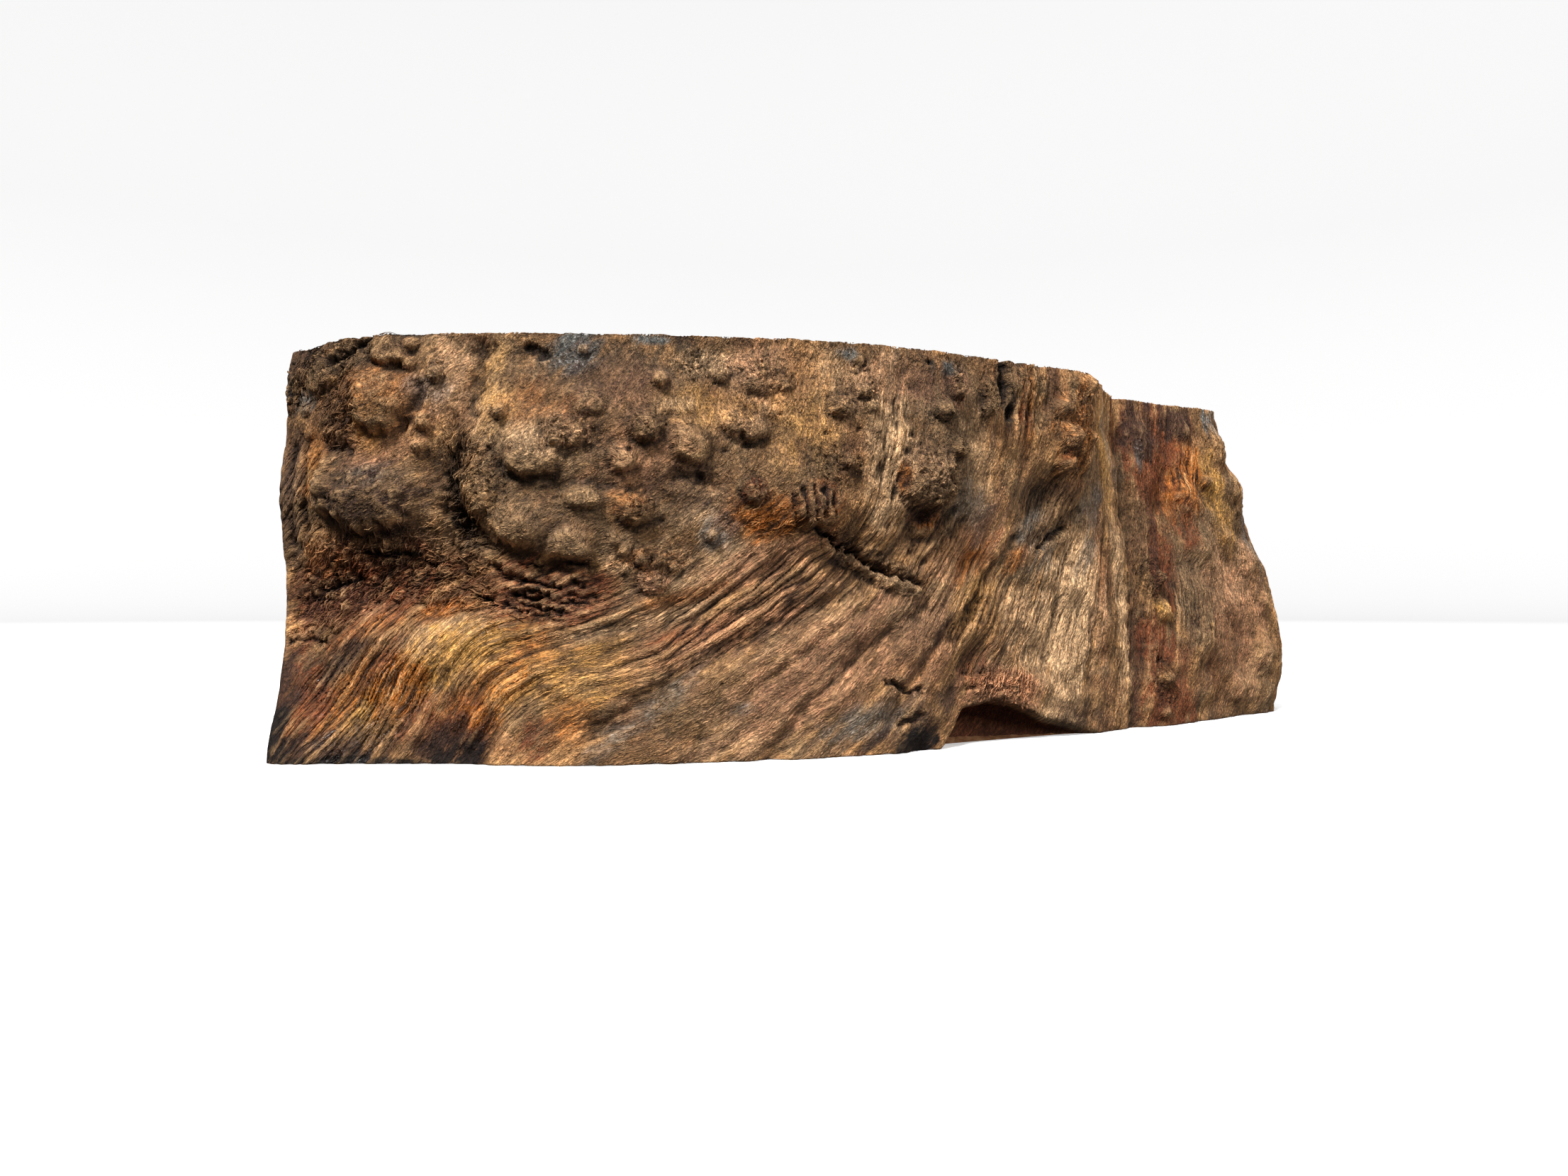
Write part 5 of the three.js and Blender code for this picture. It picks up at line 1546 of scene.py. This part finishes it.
        # The values are the sliver's tone, two grain coordinates and the face's masks.
        store(mesh, "strand", values[:, 0])
        for mask, column in zip(self.names, values[:, 3:].T):
            store(mesh, mask, column)
        store(mesh, "grain", np.pad(values[:, 1:3], ((0, 0), (0, 1))))
        mesh.update()
        piece = new_object(name, mesh)
        piece.data.materials.append(finish)
        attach(piece, "root")
        log.info("%s: %d faces", name, len(mesh.polygons))

    def grow(self, kind: Sliver, spacing: float, likely: Array) -> Grown:
        """Scatter and trace one kind of sliver."""
        return (kind, *self.trace(kind, *self.scatter(spacing, likely)))

    def build(self, finish: bpy.types.Material) -> None:
        """Grow the coat in four pieces along the face, then the mats, the crumbs and the hairs.

        Args:
            finish: the material of the natural face.
        """
        face = self.face
        end = face.run_line[-1]
        open_face = (1 - face.masks["inside"]) * smooth(end, end - self.back_margin, face.run)
        lobe = smooth(*self.lobe_start, face.run)
        calm = open_face * (1 - 0.85 * np.minimum(face.crumbled, 1)) * (1 - face.cut)
        ridged = smooth(0.15, 0.5, face.ridged)
        coat = [
            self.grow(BURL_FIBRE, self.spacing, 0.8 * calm * (1 - ridged) * (1 - lobe)),
            self.grow(RIDGE_FIBRE, self.spacing, 0.6 * calm * ridged * (1 - lobe) * (1 - 0.7 * face.valley)),
            self.grow(LOBE_FIBRE, self.spacing, 0.6 * calm * lobe),
        ]
        # The coat is cut along the face so that every piece has about as many triangles.
        starts = np.concatenate([runs[:, 0] for _, runs, _ in coat])
        weight = np.concatenate([np.full(len(runs), len(self.faces(kind.points))) for kind, runs, _ in coat])
        order = np.argsort(starts)
        shares = np.cumsum(weight[order]) / weight.sum()
        names = ("fibres_left", "fibres_heart", "fibres_split", "fibres_lobe")
        cuts = [0.0, *np.interp(np.arange(1, len(names)) / len(names), shares, starts[order]), math.inf]
        for name, low, high in zip(names, cuts, cuts[1:]):
            grown = []
            for kind, runs, heights in coat:
                within = (runs[:, 0] >= low) & (runs[:, 0] < high)
                if within.any():
                    grown.append((kind, runs[within], heights[within]))
            self.piece(name, grown, finish)
        mats = self.grow(MAT_FIBRE, self.mat_spacing, open_face * np.minimum(face.matted, 1))
        self.piece("matted_fibres", [mats], finish)
        crumbed = open_face * (0.3 * smooth(0.45, 0.95, face.crumbled) + 0.15 * face.matted) * (1 - face.cut)
        self.piece("bark_crumbs", [self.grow(CRUMB, self.crumb_spacing, crumbed)], finish, soft=False)
        hairs = self.grow(HAIR, self.hair_spacing, 0.2 * open_face * (1 - lobe))
        self.piece("loose_hairs", [hairs], finish)


@dataclass
class BriarBlock:
    """The whole block: the natural face closed by sawn back, left end, top and underside."""

    face: NaturalFace
    origin: Point
    back_columns: int = 24
    left_columns: int = 14
    margin: float = 2.4  # width of the strip between the broken edge and the flat of a sawn face
    middle: Point = (10.0, 55.0)  # the place in plan towards which that strip goes
    smoothed: float = 0.75  # how far the flat's edge goes from the relief's outline back to the smooth one
    chip: float = 0.12  # mm that the upper edge is chipped on the whole
    chip_swing: float = 0.22  # mm that it swings by
    coat_tone: float = 0.36  # painted shade on the wood under the fibres: its lightness, on a sliver's scale
    name: str = "briar_block_dressed"

    def rings(self) -> Array:
        """Carry the natural face's rows on along the sawn back and the sawn left end, in straight lines.

        Returns:
            Rows of points right round the block, as rows by columns by 3.
        """
        face = self.face.points()
        right, left = face[:, -1:], face[:, :1]
        corner = left.copy()
        corner[..., :2] = LEFT_END, BACK
        back_share = (np.arange(1, self.back_columns) / self.back_columns)[None, :, None]
        left_share = (np.arange(self.left_columns) / self.left_columns)[None, :, None]
        back = right + (corner - right) * back_share
        side = corner + (left - corner) * left_share
        return np.concatenate([face, back, side], axis=1)

    def build(self, natural_finish: bpy.types.Material) -> bpy.types.Object:
        """Make the mesh: quads round the block, a strip along each sawn edge and a flat face inside it.

        Args:
            natural_finish: the material of the natural face.

        Returns:
            The block's object, with its masks as attributes and its two finishes.
        """
        rings = self.rings()
        rows, around = rings.shape[:2]
        columns = self.face.columns
        chipping = GradientNoise(SEED + 30).layered(self.face.run_line / 2.2, np.zeros(columns), 3)
        chip = np.clip(self.chip + self.chip_swing * chipping, 0.02, 1.4)
        rings[-1, :columns, 2] -= chip
        rings[-2, :columns, 2] -= 0.45 * chip
        rings[0, :columns, 2] += 0.6 * np.clip(chip, 0, 0.5)
        plan = self.face.outline.plan(self.face.parameters, np.array([0.0, HEIGHT]))
        caps = []
        for level, height in ((0, 0.0), (1, HEIGHT)):
            edge = rings[-level, :, :2].copy()
            edge[:columns] = (1 - self.smoothed) * edge[:columns] + self.smoothed * plan[level]
            inward = np.array(self.middle) - edge
            edge += self.margin * inward / np.hypot(*inward.T)[:, None]
            caps.append(np.column_stack([edge, np.full(around, height)]))
        points = np.concatenate([rings.reshape(-1, 3), caps[0], caps[1]])

        side = band_quads(rows, around)
        ring = np.arange(around)
        after = (ring + 1) % around
        low, high, last = rows * around, (rows + 1) * around, (rows - 1) * around
        under = np.stack([low + ring, low + after, after, ring], -1)
        over = np.stack([last + ring, last + after, high + after, high + ring], -1)
        quads = np.concatenate([side.reshape(-1, 4), under, over])
        mesh = bpy.data.meshes.new(self.name)
        polygons = quads.tolist() + [(low + ring[::-1]).tolist(), (high + ring).tolist()]
        mesh.from_pydata(in_frame(points, self.origin).tolist(), [], polygons)

        natural = np.zeros(len(polygons), bool)
        natural[: (rows - 1) * around] = np.tile(ring < columns - 1, rows - 1)
        mesh.polygons.foreach_set("use_smooth", natural)
        mesh.polygons.foreach_set("material_index", (~natural).astype(np.int32))
        self.dress(mesh, rows, around)
        mesh.validate()
        mesh.update()
        block = new_object(self.name, mesh)
        block.data.materials.append(natural_finish)
        block.data.materials.append(SawnBriar().build())
        return block

    def dress(self, mesh: bpy.types.Mesh, rows: int, around: int) -> None:
        """Store the face's masks and its grain coordinates as attributes of the mesh's points.

        Args:
            mesh: the block's mesh, whose points start with the rows right round.
            rows: how many rows there are.
            around: how many points a row has.
        """
        columns = self.face.columns
        count = len(mesh.vertices)
        for name, mask in {**self.face.masks, "bare": 1.0, "strand": self.coat_tone}.items():
            values = np.zeros(count, np.float32)
            values[: rows * around].reshape(rows, around)[:, :columns] = mask
            store(mesh, name, values)
        grain = np.zeros((count, 3), np.float32)
        spread = grain[: rows * around].reshape(rows, around, 3)
        spread[:, :columns, 0] = self.face.along
        spread[:, :columns, 1] = self.face.across
        store(mesh, "grain", grain)


@dataclass
class Studio:
    """A pale floor that turns up into a round backdrop, soft lamps, and the camera of the photograph."""

    origin: Point
    # Metres from the middle to where the floor turns up, the radius of that turn and the backdrop's height.
    radius: float = 1.6
    fillet: float = 0.8
    wall: float = 2.8
    segments: int = 96
    world_light: float = 0.11
    aim: tuple[float, float, float] = (0.0, 0.0, 0.03)  # where the lamps look

    def floor(self) -> None:
        """Make the floor as a surface of revolution: a disc, a quarter circle up and an upright wall."""
        turn = np.linspace(0, math.pi / 2, 12)
        reach = self.radius + self.fillet
        across = np.concatenate([[0.0, 0.2], self.radius + self.fillet * np.sin(turn), [reach]])
        up = np.concatenate([[0.0, 0.0], self.fillet * (1 - np.cos(turn)), [self.wall]])
        angle = np.linspace(0, 2 * math.pi, self.segments, endpoint=False)
        level = np.repeat(up[:, None], self.segments, axis=1)
        points = np.stack([np.outer(across, np.cos(angle)), np.outer(across, np.sin(angle)), level], -1)
        faces = band_quads(len(across), self.segments)
        mesh = bpy.data.meshes.new("studio_floor")
        mesh.from_pydata(points.reshape(-1, 3).tolist(), [], faces[:, :, ::-1].reshape(-1, 4).tolist())
        mesh.polygons.foreach_set("use_smooth", np.ones(len(mesh.polygons), bool))
        floor = new_object("studio_floor", mesh)
        material, tree = fresh_material("pale_paper_backdrop")
        glow = {"Emission Color": linear("#ffffff"), "Emission Strength": 0.3}
        paper = add(tree, "BsdfPrincipled", {"Base Color": linear("#f6f6f6"), "Roughness": 0.9, **glow})
        add(tree, "OutputMaterial", {"Surface": paper})
        floor.data.materials.append(material)
        # The block isn't lit back by the floor, so its undersides stay as dark as in the photograph.
        floor.visible_diffuse = False
        floor.visible_glossy = False

    def lamp(self, name: str, hung: tuple[float, float, float], size: float, power: float) -> None:
        """Hang a square soft lamp that looks at the block.

        Args:
            name: the lamp's name.
            hung: its place, in metres.
            size: the side of its square, in metres.
            power: in watts.
        """
        light = bpy.data.lights.new(name, "AREA")
        light.size = size
        light.energy = power
        lamp = new_object(name, light)
        aim = np.array(self.aim) - np.array(hung)
        flat = math.hypot(aim[0], aim[1])
        lamp.location = hung
        lamp.rotation_euler = (math.atan2(flat, -aim[2]), 0, math.atan2(aim[1], aim[0]) - math.pi / 2)
        lamp.visible_camera = False

    def build(self) -> None:
        """Set up the floor, the world, the lamps and the camera."""
        self.floor()
        world = bpy.data.worlds.new("studio")
        world.use_nodes = True
        background = world.node_tree.nodes["Background"]
        background.inputs[0].default_value = linear("#ffffff")
        background.inputs[1].default_value = self.world_light
        bpy.context.scene.world = world
        self.lamp("key_lamp", (-0.7, -1.3, 1.55), 0.4, 57.0)
        self.lamp("top_lamp", (0.2, 0.1, 2.6), 2.0, 34.0)
        self.lamp("side_lamp", (1.2, -1.3, 0.8), 0.7, 18.0)
        bpy.context.scene.view_settings.view_transform = "Standard"

        pixel = HEIGHT / NEAREST_HEIGHT
        data = bpy.data.cameras.new("camera")
        data.sensor_width = 36
        data.lens = FOCAL_LENGTH / PHOTO_WIDTH * data.sensor_width
        data.shift_y = (HORIZON_ROW - PHOTO_HEIGHT / 2) / PHOTO_WIDTH
        data.clip_start = 0.01
        camera = new_object("camera", data)
        back = self.origin[1] - FOCAL_LENGTH * pixel
        camera.location = (self.origin[0] * MM, back * MM, EYE_LEVEL * HEIGHT * MM)
        camera.rotation_euler = (math.pi / 2, 0, 0)
        bpy.context.scene.camera = camera


def main() -> None:
    """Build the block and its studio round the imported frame, and note both sizes."""
    logging.basicConfig(level=logging.INFO, format="%(name)s: %(message)s")
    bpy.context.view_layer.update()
    low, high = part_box("briar_block")
    origin = (low[0] / MM - LEFT_END, high[1] / MM - BACK)
    face = NaturalFace()
    log.info("natural face: %d x %d points, %.1f mm along", face.columns, face.rows, face.outline.length())
    burl = WeatheredBurl().build()
    block = BriarBlock(face, origin).build(burl)
    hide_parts("briar_block")
    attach(block, "root")
    log.info("block: %d faces", len(block.data.polygons))
    FibreCoat(face, origin).build(burl)
    Studio(origin).build()


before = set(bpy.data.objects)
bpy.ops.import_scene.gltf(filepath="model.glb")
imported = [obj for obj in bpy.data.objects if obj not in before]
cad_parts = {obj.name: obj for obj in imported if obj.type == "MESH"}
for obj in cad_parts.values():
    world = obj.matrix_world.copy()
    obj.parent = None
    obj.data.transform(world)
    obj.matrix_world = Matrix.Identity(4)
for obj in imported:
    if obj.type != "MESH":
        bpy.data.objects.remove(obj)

if __name__ == "__main__":
    main()
